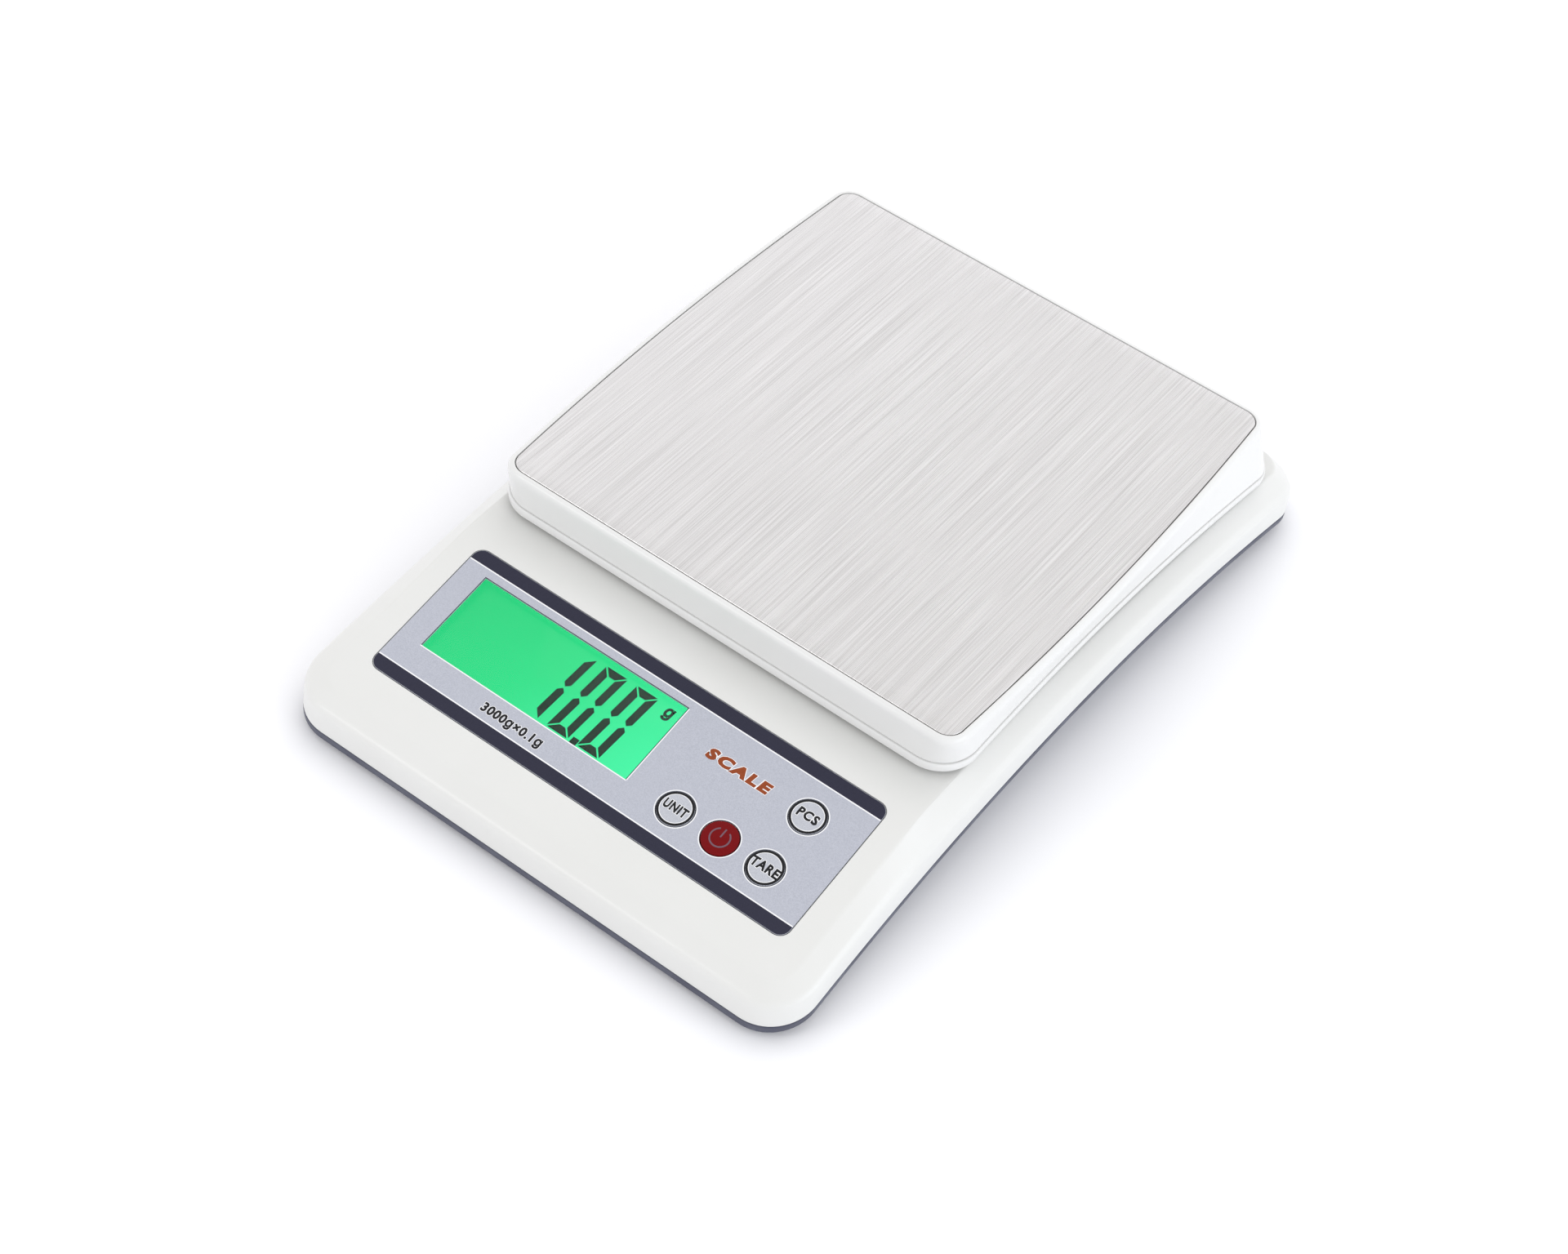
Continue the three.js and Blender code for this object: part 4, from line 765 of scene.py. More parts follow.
def buildScrew(name, body, headUp):
    # pan head with a cross recess; headUp is 1 or -1
    low, high = boxMm(name)
    x, y = centreOf(name)
    radius = (high.x - low.x) / 2
    length = high.z - low.z
    shank = radius * screw["shank"]
    head = min(screw["headMost"], radius * screw["head"])
    profile = [(0, 0), (shank * 0.35, 0.25), (shank, screw["point"])]
    turns = int((length - head - 1.6) / screw["pitch"])
    for turn in range(turns):
        z = screw["point"] + screw["pitch"] * turn
        profile += [(shank, z + 0.1), (shank * screw["root"], z + 0.45), (shank, z + 0.8)]
    seat = length - head
    profile += [(shank, seat), (radius - 0.15, seat), (radius, seat + 0.15), (radius, seat + head * 0.45),
                (radius * 0.86, seat + head * 0.8), (radius * 0.55, length - 0.04), (0, length)]
    shape = latheShape(profile, 40)
    if headUp < 0:
        shape = moved(shape, Matrix.Translation((0, 0, length)) @ Matrix.Rotation(math.pi, 4, "X"))
    obj = makeObject(camel(name, first=False), [moved(shape, Matrix.Translation((x, y, low.z)))])
    tip = high.z if headUp > 0 else low.z
    depth = screw["slotDepth"]
    reach = (tip - depth, tip + 1) if headUp > 0 else (tip - 1, tip + depth)
    arm, thin = radius * screw["arm"], radius * screw["slot"]
    combine(obj, [blockShape((x - arm, x + arm), (y - thin, y + thin), reach)], "DIFFERENCE")
    combine(obj, [blockShape((x - thin, x + thin), (y - arm, y + arm), reach)], "DIFFERENCE")
    tidyShading(obj, 32)
    fitPiece(obj, materials["screwNickel"], body, [name])


door = {"thick": 1.6, "gap": 0.3, "corner": 0.8, "catchHalf": 4.7, "hookHalf": 4, "hookAt": 14,
        "ribs": 5, "ribPitch": 1.5, "ribHalf": 11}


def buildDoor():
    # battery door with a thumb scoop, grip ribs and an opening arrow
    bottom, top = base["clearance"], base["clearance"] + door["thick"]
    front, back = boxFront + door["gap"], boxBack - door["gap"]
    obj = makeObject("batteryDoor", [prismShape(
        roundedOutline((doorLow.x, doorHigh.x), (front, back), door["corner"]), (bottom, top))])
    catch = (-door["catchHalf"], door["catchHalf"])
    hooks = [(middle - door["hookHalf"], middle + door["hookHalf"]) for middle in (-door["hookAt"], door["hookAt"])]
    parts = [blockShape(catch, (boxBack - 1.3, back), (top - 0.5, top + 1.6))]
    parts += [blockShape(hook, (front, boxFront + 1.3), (top - 0.5, 5.1)) for hook in hooks]
    combine(obj, parts, "UNION")
    parts = [blockShape(catch, (boxBack - 1.0, boxBack + 1.4), (bottom, bottom + 1.0))]
    parts += [blockShape(hook, (boxFront - 2.1, boxFront + 1.2), (3.9, 5.1)) for hook in hooks]
    combine(obj, parts, "UNION")
    scoop = latheShape([(0, -2.2), (5.4, -1.2), (7.6, 0.001), (0, 0.001)], 48)
    flip = (Matrix.Translation((0, boxBack - 9, bottom)) @ Matrix.Rotation(math.pi, 4, "X")
            @ Matrix.Scale(0.4, 4, (0, 0, 1)))
    combine(obj, [moved(scoop, flip)], "DIFFERENCE")
    arrow = [(0, boxBack - 17.2), (3.2, boxBack - 20.6), (-3.2, boxBack - 20.6)]
    grooves = [prismShape(arrow, (bottom - 1, bottom + 0.35))]
    for i in range(door["ribs"]):
        y = boxFront + 4.0 + door["ribPitch"] * i
        rib = roundedOutline((-door["ribHalf"], door["ribHalf"]), (y, y + 0.7), 0.3)
        grooves.append(prismShape(rib, (bottom - 1, bottom + 0.3)))
    combine(obj, grooves, "DIFFERENCE")
    tidyShading(obj, 28)
    fitPiece(obj, materials["baseDark"], "battery_door", ["battery_door"])


buildBase()
for name in feet:
    buildFoot(name)
for name in nodes:
    if name.startswith("case_screw") or name.startswith("load_cell_screw"):
        buildScrew(name, "housing", -1)
    elif name.startswith("carrier_screw"):
        buildScrew(name, "carrier", 1)
buildDoor()
print("gram scale: base, feet, screws and battery door")


# --- platter: tray, adhesive and steel plate

tray = {
    "sideInset": 5.2, "frontReach": 2.5, "rearReach": 8.3, "frontRadius": 11.0, "rearRadius": 13.0,
    "aboveSeam": 14.7, "aboveDeck": 1.5, "wall": 2.2, "rim": 2.1, "top": 2.4, "ledge": 2.4,
    "padRadius": 5.0, "socketWall": 2.4, "socketDepth": 3.0}
skirtForm = {
    "front": plateLow.y - tray["frontReach"], "back": plateHigh.y + tray["rearReach"],
    "half": lambda y: bodyHalf(y) - tray["sideInset"], "frontRadius": tray["frontRadius"],
    "rearRadius": tray["rearRadius"], "stations": plateForm["stations"]}
plateTop = plateHigh.z
trayFloor = plateTop - 1.3
trayCeiling = trayFloor - tray["top"]
pads = [name for name in nodes if name.startswith("carrier_pad")]


def skirtZ(y):
    return max(seamZ(y) + tray["aboveSeam"], deckZ(y) + tray["aboveDeck"])


def rimRing(inset, height):
    return ringLoop(outlineHalf(plateForm, inset - tray["rim"]), height)


def skirtRing(share, inset, height):
    # share 0 is the lower edge of the skirt, 1 the outer edge of the rim
    low = outlineHalf(skirtForm, inset)
    high = outlineHalf(plateForm, -tray["rim"])
    points = [(a + share * (c - a), b + share * (d - b)) for (a, b), (c, d) in zip(low, high)]
    return ringLoop(points, height)


def wallRing(share, bulge):
    # the sloped wall between the ledge and the rim, a little hollow
    low = outlineHalf(skirtForm, 0.46)
    high = outlineHalf(plateForm, -tray["rim"])
    points, heights = [], []
    for (a, b), (c, d) in zip(low, high):
        bottom = skirtZ(b) + tray["ledge"] + 0.45
        points.append((a + share * (c - a), b + share * (d - b)))
        heights.append(bottom + (share - bulge) * (plateTop - 1.9 - bottom))
    lifted = [(x, y, z) for (x, y), z in zip(points, heights)]
    return lifted + [(-x, y, z) for x, y, z in reversed(lifted)]


def buildTray():
    wall, ledge = tray["wall"], tray["ledge"]
    loops = [
        rimRing(4.4, trayCeiling),
        rimRing(3.0, trayCeiling - 1),
        skirtRing(0, wall + 0.2, lambda y: skirtZ(y) + 1.5),
        skirtRing(0, wall, skirtZ),
        skirtRing(0, 0.3, skirtZ),
        skirtRing(0, 0.08, lambda y: skirtZ(y) + 0.10),
        skirtRing(0, 0.0, lambda y: skirtZ(y) + 0.35),
        skirtRing(0, 0.0, lambda y: skirtZ(y) + ledge - 0.25),
        skirtRing(0, 0.07, lambda y: skirtZ(y) + ledge - 0.05),
        skirtRing(0, 0.22, lambda y: skirtZ(y) + ledge + 0.06),
        skirtRing(0, 0.50, lambda y: skirtZ(y) + ledge + 0.10),
        skirtRing(0, 0.86, lambda y: skirtZ(y) + ledge + 0.06),
        skirtRing(0, 0.90, lambda y: skirtZ(y) + ledge + 0.30),
        skirtRing(0, 0.62, lambda y: skirtZ(y) + ledge + 0.38),
        wallRing(0.0, 0.0), wallRing(0.25, 0.012), wallRing(0.5, 0.016), wallRing(0.75, 0.010),
        wallRing(0.93, 0.0),
        rimRing(0.06, plateTop - 1.45), rimRing(0.22, plateTop - 0.98), rimRing(0.45, plateTop - 0.58),
        rimRing(0.78, plateTop - 0.26), rimRing(1.15, plateTop - 0.07), rimRing(1.45, plateTop),
        rimRing(tray["rim"] - 0.42, plateTop), rimRing(tray["rim"] - 0.30, plateTop - 0.12),
        rimRing(tray["rim"] - 0.30, trayFloor)]
    addPiece("platterTray", [ringShape(loops)], materials["trayWhite"], "platter",
             ["platter_tray"], 26)
    padTop = boxMm(pads[0])[1].z
    levels = (padTop - tray["socketDepth"], padTop + 1)
    inner = tray["padRadius"] + 0.4
    sockets = [ringPrint(inner, inner + tray["socketWall"] - 0.4, centreOf(name), levels) for name in pads]
    ribDeep = (trayCeiling - 1.6, trayCeiling + 1)
    ribs = [blockShape((x - 0.8, x + 0.8), (plateLow.y + 6, plateHigh.y - 6), ribDeep) for x in (-24, 24)]
    addPiece("traySockets", sockets + ribs, materials["trayWhite"], "platter")


def plateRing(inset, height):
    return ringLoop(outlineHalf(plateForm, inset), height)


buildTray()
steel = [plateRing(0.12, plateTop - 1), plateRing(0.0, plateTop - 0.9), plateRing(0.0, plateTop - 0.30)]
steel += [plateRing(0.06, plateTop - 0.14), plateRing(0.16, plateTop - 0.04), plateRing(0.32, plateTop)]
addPiece("steelPlate", [ringShape(steel)], materials["plateSteel"], "platter", ["steel_plate"], 40)
tape = [plateRing(2, trayFloor), plateRing(2, plateTop - 1)]
addPiece("foamTape", [ringShape(tape)], materials["foamTape"], "platter", ["adhesive_sheet"])
for name in pads:
    low, high = boxMm(name)
    radius = (high.x - low.x) / 2
    profile = [(0, 0), (radius - 0.3, 0), (radius, 0.3), (radius, high.z - low.z - 0.7)]
    profile += [(radius - 0.25, high.z - low.z - 0.2), (radius - 0.7, high.z - low.z), (0, high.z - low.z)]
    where = Matrix.Translation((*centreOf(name), low.z))
    addPiece(f"rubberPad{camel(name[12:])}", [moved(latheShape(profile), where)], materials["padRubber"],
             "carrier", [name])
print("gram scale: platter")


# --- printed panel

inkHeight = 0.03
printing = {
    "stripe": 3.8, "line": 0.34, "halo": 0.15,
    # rim is the width of the painted shadow strips inside the display window's left, back and right edges
    "rim": 0.2, "windowLine": 0.32, "capacity": {
        "words": "3000\u0261×0.1\u0261", "at": (-24.0, 7.0), "size": (18.6, 3.5), "swell": 0.042, "lean": 0.0,
        "spread": 1.1, "ink": "blackInk"},
    "title": {
        "words": "SCALE", "at": (28.5, 29.9), "size": (19.0, 3.3), "swell": 0.066, "lean": 0.12, "spread": 1.26,
        "ink": "copperInk"}}


def wordShape(words, at, size, swell, lean=0.0, lift=0.0, spread=1.0):
    # letters cut from the built-in font, fitted to a width and height in mm
    font = bpy.data.curves.new("letters", "FONT")
    font.body = words
    font.align_x, font.align_y = "CENTER", "CENTER"
    font.extrude = 0.1
    font.offset = swell
    font.shear = lean
    font.resolution_u = 3
    font.space_character = spread
    carrier = bpy.data.objects.new("letters", font)
    scene.collection.objects.link(carrier)
    bpy.context.view_layer.update()
    mesh = bpy.data.meshes.new_from_object(carrier.evaluated_get(bpy.context.evaluated_depsgraph_get()))
    work = bmesh.new()
    work.from_mesh(mesh)
    bmesh.ops.remove_doubles(work, verts=work.verts, dist=1e-5)
    xs = [v.co.x for v in work.verts]
    ys = [v.co.y for v in work.verts]
    wide, tall = max(xs) - min(xs), max(ys) - min(ys)
    midX, midY = (max(xs) + min(xs)) / 2, (max(ys) + min(ys)) / 2
    points = [((v.co.x - midX) * size[0] / wide + at[0], (v.co.y - midY) * size[1] / tall + at[1],
               lift + (inkHeight if v.co.z > 0 else 0)) for v in work.verts]
    work.verts.index_update()
    faces = [tuple(v.index for v in face.verts) for face in work.faces]
    work.free()
    bpy.data.objects.remove(carrier)
    return points, faces


def haloWord(words, at, size, swell, **extra):
    # the same words, swollen by the width of the halo, lying just under the ink
    halo = printing["halo"]
    grown = (size[0] + 2 * halo, size[1] + 2 * halo)
    shape = wordShape(words, at, grown, swell + halo / size[1] * 0.9, **extra)
    return [(x, y, z * 0.6) for x, y, z in shape[0]], shape[1]


def stripeOutline(atBack, inset=0.06):
    half, depth, radius = panel["halfWidth"] - inset, panel["depth"] - inset, panel["radius"] - inset
    band = printing["stripe"]
    if atBack:
        inner = depth - band
        return (circle(radius, (half - radius, depth - radius), 8, 0, 90)
                + circle(radius, (-half + radius, depth - radius), 8, 90, 90) + [(-half, inner), (half, inner)])
    return (circle(radius, (-half + radius, inset + radius), 8, 180, 90)
            + circle(radius, (half - radius, inset + radius), 8, 270, 90) + [(half, band), (-half, band)])


def buildOverlay():
    half, depth = panel["halfWidth"], panel["depth"]
    sheet = roundedOutline((-half, half), (0, depth), panel["radius"], 10)
    obj = makeObject("panelFilm", [onPanel(prismShape(sheet, (-panel["sheet"], 0)))])
    cuts = [blockShape((display["left"], display["right"]), (display["front"], display["back"]), (-2, 1))]
    cuts += [rodShape(topShell["keyHole"], place, (-2, 1), 64) for place in keyPlaces.values()]
    combine(obj, [onPanel(cut) for cut in cuts], "DIFFERENCE")
    tidyShading(obj, 30)
    fitPiece(obj, materials["silverFilm"], "housing", ["panel_overlay"])
    stripes = [prismShape(stripeOutline(back), (0, inkHeight)) for back in (False, True)]
    addPiece("darkStripes", [onPanel(shape) for shape in stripes], materials["stripeInk"], "housing")
    line, band, low = printing["line"], printing["stripe"], (0, inkHeight * 0.8)
    top = depth - 0.06 - band
    lines = [blockShape((-half + 0.1, half - 0.1), ys, low) for ys in ((band, band + line), (top - line, top))]
    lines += [ringPrint(topShell["keyHole"] + 0.04, topShell["keyHole"] + 0.30, place, low)
              for place in keyPlaces.values()]
    edge, shadowWidth = printing["windowLine"], printing["rim"]
    x0, x1, y0, y1 = display["left"], display["right"], display["front"], display["back"]
    lines += [blockShape((x0 - edge, x1 + edge), (y0 - edge, y0 - 0.02), low),
              blockShape((x1 + 0.20, x1 + edge + 0.16), (y0 + 0.01, y1), low)]
    # dark strips inside the window's left, back and right edges: painted shadow of the recess overhang, laid in the
    # dark stripe ink
    paintedShadows = [blockShape((x0 - shadowWidth, x0 - 0.01), (y0, y1 + shadowWidth), low),
            blockShape((x0, x1 + shadowWidth), (y1 + 0.01, y1 + shadowWidth), low),
            blockShape((x1 + 0.01, x1 + shadowWidth - 0.01), (y0, y1), low)]
    addPiece("windowRim", [onPanel(shape) for shape in paintedShadows], materials["stripeInk"], "housing")
    addPiece("whiteLines", [onPanel(shape) for shape in lines], materials["whiteInk"], "housing")
    for name in ("capacity", "title"):
        look = printing[name]
        place = (look["words"], look["at"], look["size"], look["swell"])
        letters = onPanel(wordShape(*place, lean=look["lean"], spread=look["spread"]))
        halo = onPanel(haloWord(*place, lean=look["lean"], spread=look["spread"]))
        addPiece(f"{name}Halo", [halo], materials["whiteInk"], "housing")
        addPiece(f"{name}Words", [letters], materials[look["ink"]], "housing")


# --- display: clear lens, lit glass, slanted segments

digits = {
    "height": 22.1, "width": 6.7, "pitch": 9.6, "bar": 2.15, "gap": 0.3, "slant": 0.065,
    "right": -0.56, "front": 13.2, "shown": ("1", "0", "0"), "point": (-9.86, 13.7), "pointSize": 1.9,
    "unitAt": (3.9, 33.2), "unitSize": (2.7, 3.9)}
segmentsLit = {"0": "abcdef", "1": "bc"}


def segmentShapes(lit, left, front):
    # the lit ones of the seven bars, with mitred ends
    w, h, t, g = digits["width"], digits["height"], digits["bar"], digits["gap"]
    mid = h / 2
    bars = {
        "a": [(g, h), (w - g, h), (w - t - g, h - t), (t + g, h - t)],
        "d": [(t + g, t), (w - t - g, t), (w - g, 0), (g, 0)],
        "b": [(w, h - g), (w, mid + t * 0.45 + g), (w - t / 2, mid + g), (w - t, mid + t * 0.5 + g),
              (w - t, h - t - g)],
        "c": [(w - t, t + g), (w - t, mid - t * 0.5 - g), (w - t / 2, mid - g), (w, mid - t * 0.45 - g),
              (w, g)],
        "f": [(0, h - g), (t, h - t - g), (t, mid + t * 0.5 + g), (t / 2, mid + g), (0, mid + t * 0.45 + g)],
        "e": [(0, g), (0, mid - t * 0.45 - g), (t / 2, mid - g), (t, mid - t * 0.5 - g), (t, t + g)]}
    shapes = []
    for name in lit:
        outline = [(left + x + digits["slant"] * y, front + y) for x, y in bars[name]]
        shapes.append(outline)
    return shapes


def glowMaterial():
    # lit glass: deep green at the far left, pale mint at the near right
    material, tree, shader = startMaterial("litGlass", {
        "Roughness": 0.3, "Emission Strength": 0.93, "Specular IOR Level": 0.1})
    place = addNode(tree, "ShaderNodeTexCoord")
    split = addNode(tree, "ShaderNodeSeparateXYZ")
    cloud = addNode(tree, "ShaderNodeTexNoise", None, {"Scale": 45.0, "Detail": 2.0})
    joinSockets(
        tree, (place.outputs["Object"], split.inputs[0]), (place.outputs["Object"], cloud.inputs["Vector"]))
    across = remap(tree, split.outputs["X"], 0.0, 0.78, display["left"] * mm, display["right"] * mm)
    down = remap(tree, split.outputs["Y"], 0.22, 0.0, -0.094, -0.070)
    total = addNode(tree, "ShaderNodeMath", {"operation": "ADD"})
    uneven = addNode(tree, "ShaderNodeMath", {"operation": "ADD"})
    joinSockets(
        tree,
        (across, total.inputs[0]), (down, total.inputs[1]), (total.outputs[0], uneven.inputs[0]),
        (remap(tree, cloud.outputs["Fac"], -0.06, 0.06), uneven.inputs[1]))
    ramp = addNode(tree, "ShaderNodeValToRGB")
    ramp.color_ramp.elements[0].color = (0.020, 0.66, 0.215, 1)
    ramp.color_ramp.elements[1].color = (0.060, 0.98, 0.42, 1)
    middle = ramp.color_ramp.elements.new(0.45)
    middle.color = (0.024, 0.77, 0.26, 1)
    glass = blendColours(tree, cloud.outputs["Fac"], (0.004, 0.03, 0.015), (0.006, 0.04, 0.02))
    joinSockets(
        tree, (uneven.outputs[0], ramp.inputs[0]), (ramp.outputs["Color"], shader.inputs["Emission Color"]),
        (glass, shader.inputs["Base Color"]))
    return material


def lensMaterial():
    material, tree, shader = startMaterial("clearLens", {
        "Transmission Weight": 1.0, "IOR": 1.2, "Base Color": (0.97, 1.0, 0.98, 1.0)})
    marks = placeGroup(tree, handling, {"Patch Size": 50.0})
    joinSockets(tree, (remap(tree, marks.outputs["Smear"], 0.0, 0.03), shader.inputs["Roughness"]))
    return material


def buildDisplay():
    low, high = (-2.4, -0.8)
    lens = blockShape(
        (display["left"] - 0.5, display["right"] + 0.5),
        (display["front"] - 0.5, display["back"] + 0.5), (low, high))
    addPiece("displayLens", [onPanel(lens)], lensMaterial(), "housing", ["display_lens"])
    glass = blockShape(
        (display["left"] - 1.7, display["right"] + 1.7),
        (display["front"] - 2.1, display["back"] + 2.1), (-4.7, -2.7))
    addPiece("litGlass", [onPanel(glass)], glowMaterial(), "housing", ["lcd_glass"])
    outlines = []
    count = len(digits["shown"])
    for i, sign in enumerate(digits["shown"]):
        behind = (count - 1 - i) * digits["pitch"] + digits["slant"] * digits["height"]
        left = digits["right"] - digits["width"] - behind
        outlines += segmentShapes(segmentsLit[sign], left, digits["front"])
    px, py = digits["point"]
    size = digits["pointSize"] / 2
    outlines.append([
        (px - size, py - size), (px + size, py - size),
        (px + size * 1.1, py + size), (px - size * 0.9, py + size)])
    shapes = [prismShape(outline, (-2.69, -2.64)) for outline in outlines]
    letter = wordShape("\u0261", digits["unitAt"], digits["unitSize"], 0.045, 0.1, lift=-2.69)
    addPiece("litSegments", [onPanel(shape) for shape in shapes + [letter]], materials["segmentInk"],
             "housing")


# --- round keys

key = {
    "radius": 4.7, "crown": 0.46, "ring": 0.64, "halo": 0.2, "flange": 1.2,
    "swell": 0.042, "spread": 1.14,
    "words": {"unit": ("UNIT", (6.7, 2.7)), "tare": ("TARE", (7.9, 2.7)), "pcs": ("PCS", (5.9, 2.7))}}


def domeZ(x, y):
    return 0.1 + (key["crown"] - 0.1) * max(0.0, 1 - (x * x + y * y) / key["radius"] ** 2)


def onDome(shape, lift):
    points, faces = shape
    return [(x, y, z + domeZ(x, y) + lift) for x, y, z in points], faces


def buildKey(name, place):
    body, node = f"key_{name}", f"key_{name}"
    radius, crown = key["radius"], key["crown"]
    stem = -4.5
    profile = [(0, stem), (1.7, stem), (1.7, -3.7), (radius + key["flange"], -3.7),
               (radius + key["flange"], -2.9), (radius, -2.9), (radius, -0.05), (radius - 0.05, 0.06)]
    for share in (0.97, 0.92, 0.84, 0.72, 0.58, 0.42, 0.25, 0.1):
        profile.append((radius * share, domeZ(radius * share, 0)))
    profile.append((0, crown))
    where = panelPlace @ Matrix.Translation((*place, 0))
    film = "powerFilm" if name == "power" else "keyFilm"
    addPiece(f"cap{camel(name)}", [moved(latheShape(profile, 64), where)], materials[film], body,
             [node], 40)
    if name == "power":
        arc = circle(2.75, (0, 0), 40, 122, 296) + list(reversed(circle(2.33, (0, 0), 40, 122, 296)))
        bar = [(-0.2, 0.1), (0.2, 0.1), (0.2, 2.7), (-0.2, 2.7)]
        icon = [onDome(prismShape(outline, (0, inkHeight)), 0.01) for outline in (arc, bar)]
        addPiece("powerIcon", [moved(shape, where) for shape in icon], materials["iconInk"], body)
        return
    ring = ringPrint(radius - key["ring"], radius - 0.04, (0, 0), (0, inkHeight))
    addPiece(f"ring{camel(name)}", [moved(onDome(ring, 0.01), where)], materials["blackInk"], body)
    words, size = key["words"][name]
    white = [ringPrint(radius - key["ring"] - key["halo"], radius - key["ring"], (0, 0), (0, inkHeight * 0.6)),
             haloWord(words, (0, 0.1), size, key["swell"], spread=key["spread"])]
    addPiece(f"halo{camel(name)}", [moved(onDome(shape, 0.008), where) for shape in white],
             materials["whiteInk"], body)
    letters = onDome(wordShape(words, (0, 0.1), size, key["swell"], spread=key["spread"]), 0.015)
    addPiece(f"word{camel(name)}", [moved(letters, where)], materials["blackInk"], body)


buildOverlay()
buildDisplay()
for name, place in keyPlaces.items():
    buildKey(name, place)
print("gram scale: panel, display and keys")


# --- battery box contents

def buildBattery(name):
    low, high = boxMm(name)
    y, z = (low.y + high.y) / 2, (low.z + high.z) / 2
    right = name != "battery_2"
    radius, length = (high.y - low.y) / 2, high.x - low.x
    turn = Matrix.Rotation(math.pi / 2 if right else -math.pi / 2, 4, "Y")
    start = Matrix.Translation((low.x if right else high.x, y, z)) @ turn
    split = length * 0.70
    sleeve = [(0, 0.15), (radius - 1.1, 0.15), (radius - 0.9, 0.0), (radius - 0.35, 0.0), (radius - 0.06, 0.22),
              (radius, 0.6), (radius, split), (0, split)]
    gold = [(0, split), (radius, split), (radius, length - 1.7), (radius - 0.1, length - 1.35),
            (radius - 0.45, length - 1.1), (2.9, length - 1.1), (0, length - 1.1)]
    cap = [(0, length - 1.1), (2.7, length - 1.1), (2.7, length - 0.95), (1.9, length - 0.9),
           (1.85, length - 0.15), (1.6, length), (0, length)]
    for part, profile, steps, finish, stoodFor in (
            ("Sleeve", sleeve, 56, "sleeveBlue", [name]), ("Band", gold, 56, "sleeveGold", []),
            ("Cap", cap, 40, "contactNickel", [])):
        addPiece(f"{camel(name, False)}{part}", [moved(latheShape(profile, steps), start)], materials[finish],
                 "housing", stoodFor)


for name in nodes:
    if name.startswith("battery_") and name[8:].isdigit():
        buildBattery(name)
print("gram scale: batteries")


# --- nodes that keep their CAD shape: softened edges and their own finishes

def boardMaterial():
    # green lacquer over copper tracks
    material, tree, shader = startMaterial("boardLacquer", {"Coat Weight": 0.5, "Coat Roughness": 0.2})
    place = addNode(tree, "ShaderNodeTexCoord")
    tracks = addNode(tree, "ShaderNodeTexBrick", {"offset": 0.37, "squash": 0.6}, {
        "Scale": 140.0, "Mortar Size": 0.06, "Brick Width": 0.9, "Row Height": 0.22,
        "Color1": (0.012, 0.12, 0.045, 1), "Color2": (0.010, 0.105, 0.04, 1), "Mortar": (0.03, 0.2, 0.075, 1)})
    marks = placeGroup(tree, handling)
    joinSockets(
        tree, (place.outputs["Object"], tracks.inputs["Vector"]),
        (tracks.outputs["Color"], shader.inputs["Base Color"]),
        (remap(tree, marks.outputs["Smear"], 0.25, 0.4), shader.inputs["Roughness"]))
    addBump(tree, shader, tracks.outputs["Fac"], 0.03, 0.5)
    return material


materials["boardLacquer"] = boardMaterial()
keptFinishes = {
    ("leadGrey", "lead_grey", 0): ["load_cell_cable"], ("leadRed", "lead_red", 0): ["battery_lead_red"],
    ("leadBlack", "lead_black", 0): ["battery_lead_black"],
    ("carrierWhite", "carrier", 0.35): ["platter_carrier"],
    ("machinedAlloy", "aluminium", 0.2): ["load_cell_spacer", "upper_spacer"],
    ("boardLacquer", "board", 0): ["main_board"], ("framePlastic", "frame_plastic", 0.15): ["lcd_frame"],
    ("backlightGuide", "backlight", 0.15): ["lcd_backlight"],
    ("zebraRubber", "elastomer", 0.1): ["zebra_connector"],
    ("chipBlack", "chip", 0.12): [
        "controller_chip", "converter_chip", "switch_unit", "switch_power", "switch_tare", "switch_pcs"],
    ("contactNickel", "contact", 0): [
        "contact_positive", "contact_negative", "contact_link_left", "contact_link_right"],
    ("screwNickel", "screw", 0): [f"board_screw_{i}" for i in range(1, 5)]}
for (finish, slotName, soft), kept in keptFinishes.items():
    for name in kept:
        obj = nodes[name]
        obj.data.materials.clear()
        obj.data.materials.append(materials[finish])
        if soft:
            roundEdges(obj, soft)


def buildLoadCell():
    # a real beam bends at its free end; here the beam keeps its CAD shape, with softened edges
    node = nodes["load_cell"]
    obj = bpy.data.objects.new("bendingCell", node.data.copy())
    scene.collection.objects.link(obj)
    obj.matrix_world = node.matrix_world.copy()
    roundEdges(obj, 0.3)
    applyModifiers(obj)
    tidyShading(obj, 30)
    fitPiece(obj, materials["machinedAlloy"], "housing", ["load_cell"])
    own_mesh(obj)


buildLoadCell()
print("gram scale: inner parts finished")


# --- studio

studio = {
    "floor": (0.935, 0.935, 0.955), "sky": (0.90, 0.90, 0.90), "skyLow": (1.18, 1.18, 1.21), "skyStrength": 1.0,
    "lamps": [
        ("overhead", (-0.15, 0.80, 1.10), (0, 0.02, 0), 1.2, 3.4, (1.0, 0.985, 0.97)),
        ("coolSide", (1.15, 0.05, 0.26), (0, 0, 0.02), 0.9, 4.2, (0.84, 0.92, 1.0)),
        ("frontSoft", (-0.55, -1.05, 0.85), (0, -0.1, 0.02), 0.45, 1.8, (1.0, 1.0, 1.0))]}
cameraView = {"place": (0.2507, -0.4614, 0.5626), "turn": (42.070, -6.343, 36.303), "lens": 66.457}


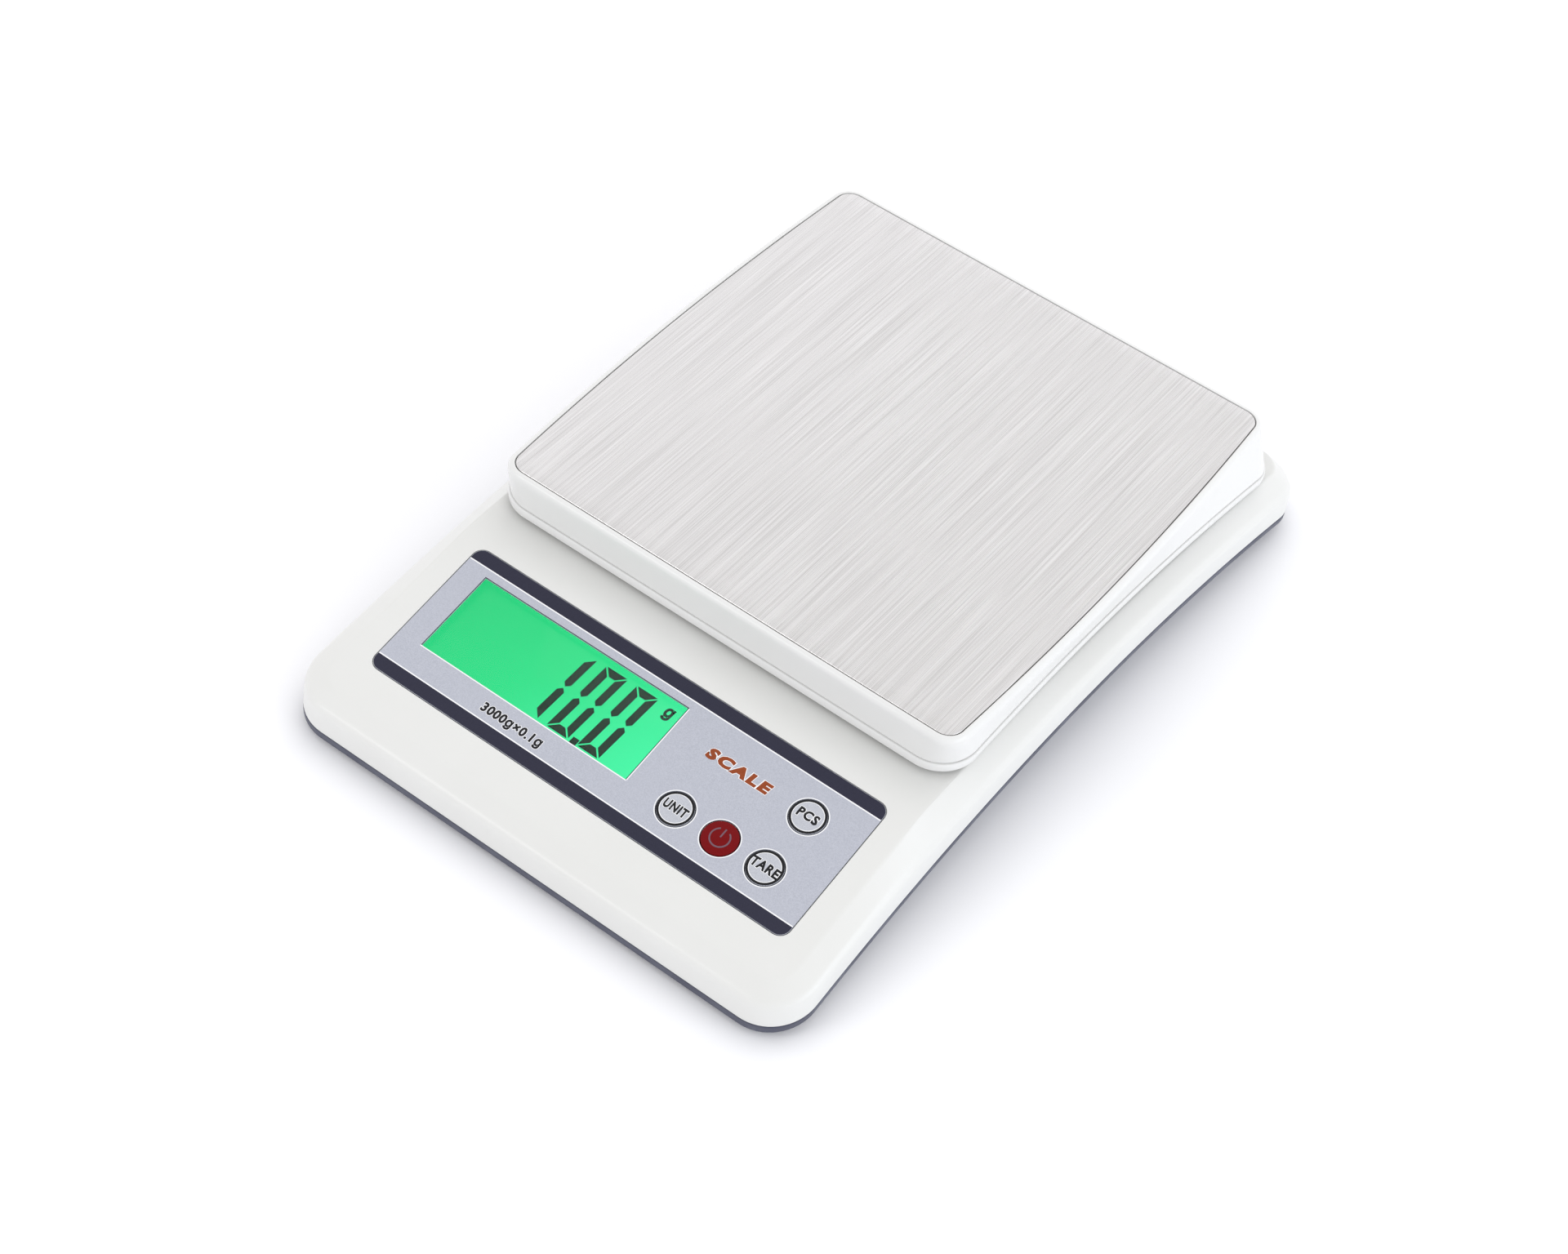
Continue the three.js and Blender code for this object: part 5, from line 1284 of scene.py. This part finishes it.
def buildStudio():
    mesh = bpy.data.meshes.new("studioFloor")
    mesh.from_pydata([(-4, -4, 0), (4, -4, 0), (4, 4, 0), (-4, 4, 0)], [], [(0, 1, 2, 3)])
    floor = bpy.data.objects.new("studioFloor", mesh)
    scene.collection.objects.link(floor)
    material, tree, shader = startMaterial("floorPaper", {
        "Base Color": (*studio["floor"], 1.0), "Roughness": 0.9})
    side = addNode(tree, "ShaderNodeNewGeometry")
    clear = addNode(tree, "ShaderNodeBsdfTransparent")
    either = addNode(tree, "ShaderNodeMixShader")
    joinSockets(
        tree, (side.outputs["Backfacing"], either.inputs[0]), (shader.outputs[0], either.inputs[1]),
        (clear.outputs[0], either.inputs[2]),
        (either.outputs[0], tree.nodes["Material Output"].inputs["Surface"]))
    floor.data.materials.append(material)
    world = bpy.data.worlds.new("studioSky")
    world.use_nodes = True
    backdrop = world.node_tree.nodes["Background"]
    backdrop.inputs["Strength"].default_value = studio["skyStrength"]
    around = addNode(world.node_tree, "ShaderNodeTexCoord")
    upward = addNode(world.node_tree, "ShaderNodeSeparateXYZ")
    joinSockets(world.node_tree, (around.outputs["Generated"], upward.inputs[0]))
    rise = remap(world.node_tree, upward.outputs["Z"], 0.0, 1.0, 0.1, 0.95)
    joinSockets(world.node_tree, (
        blendColours(world.node_tree, rise, studio["skyLow"], studio["sky"]), backdrop.inputs["Color"]))
    scene.world = world
    for name, place, target, size, power, colour in studio["lamps"]:
        lamp = bpy.data.lights.new(name, "AREA")
        lamp.shape = "SQUARE"
        lamp.size = size
        lamp.energy = power
        lamp.color = colour
        obj = bpy.data.objects.new(name, lamp)
        obj.location = place
        obj.rotation_euler = (Vector(target) - Vector(place)).to_track_quat("-Z", "Y").to_euler()
        obj.visible_glossy = name != "overhead"
        scene.collection.objects.link(obj)


def buildCamera():
    camera = bpy.data.cameras.new("scaleCamera")
    camera.sensor_width = 36
    camera.lens = cameraView["lens"]
    camera.clip_start = 0.01
    obj = bpy.data.objects.new("scaleCamera", camera)
    obj.location = cameraView["place"]
    obj.rotation_euler = [math.radians(angle) for angle in cameraView["turn"]]
    scene.collection.objects.link(obj)
    scene.camera = obj


buildStudio()
buildCamera()
scene.view_settings.view_transform = "Standard"
print("gram scale: studio and camera ready")
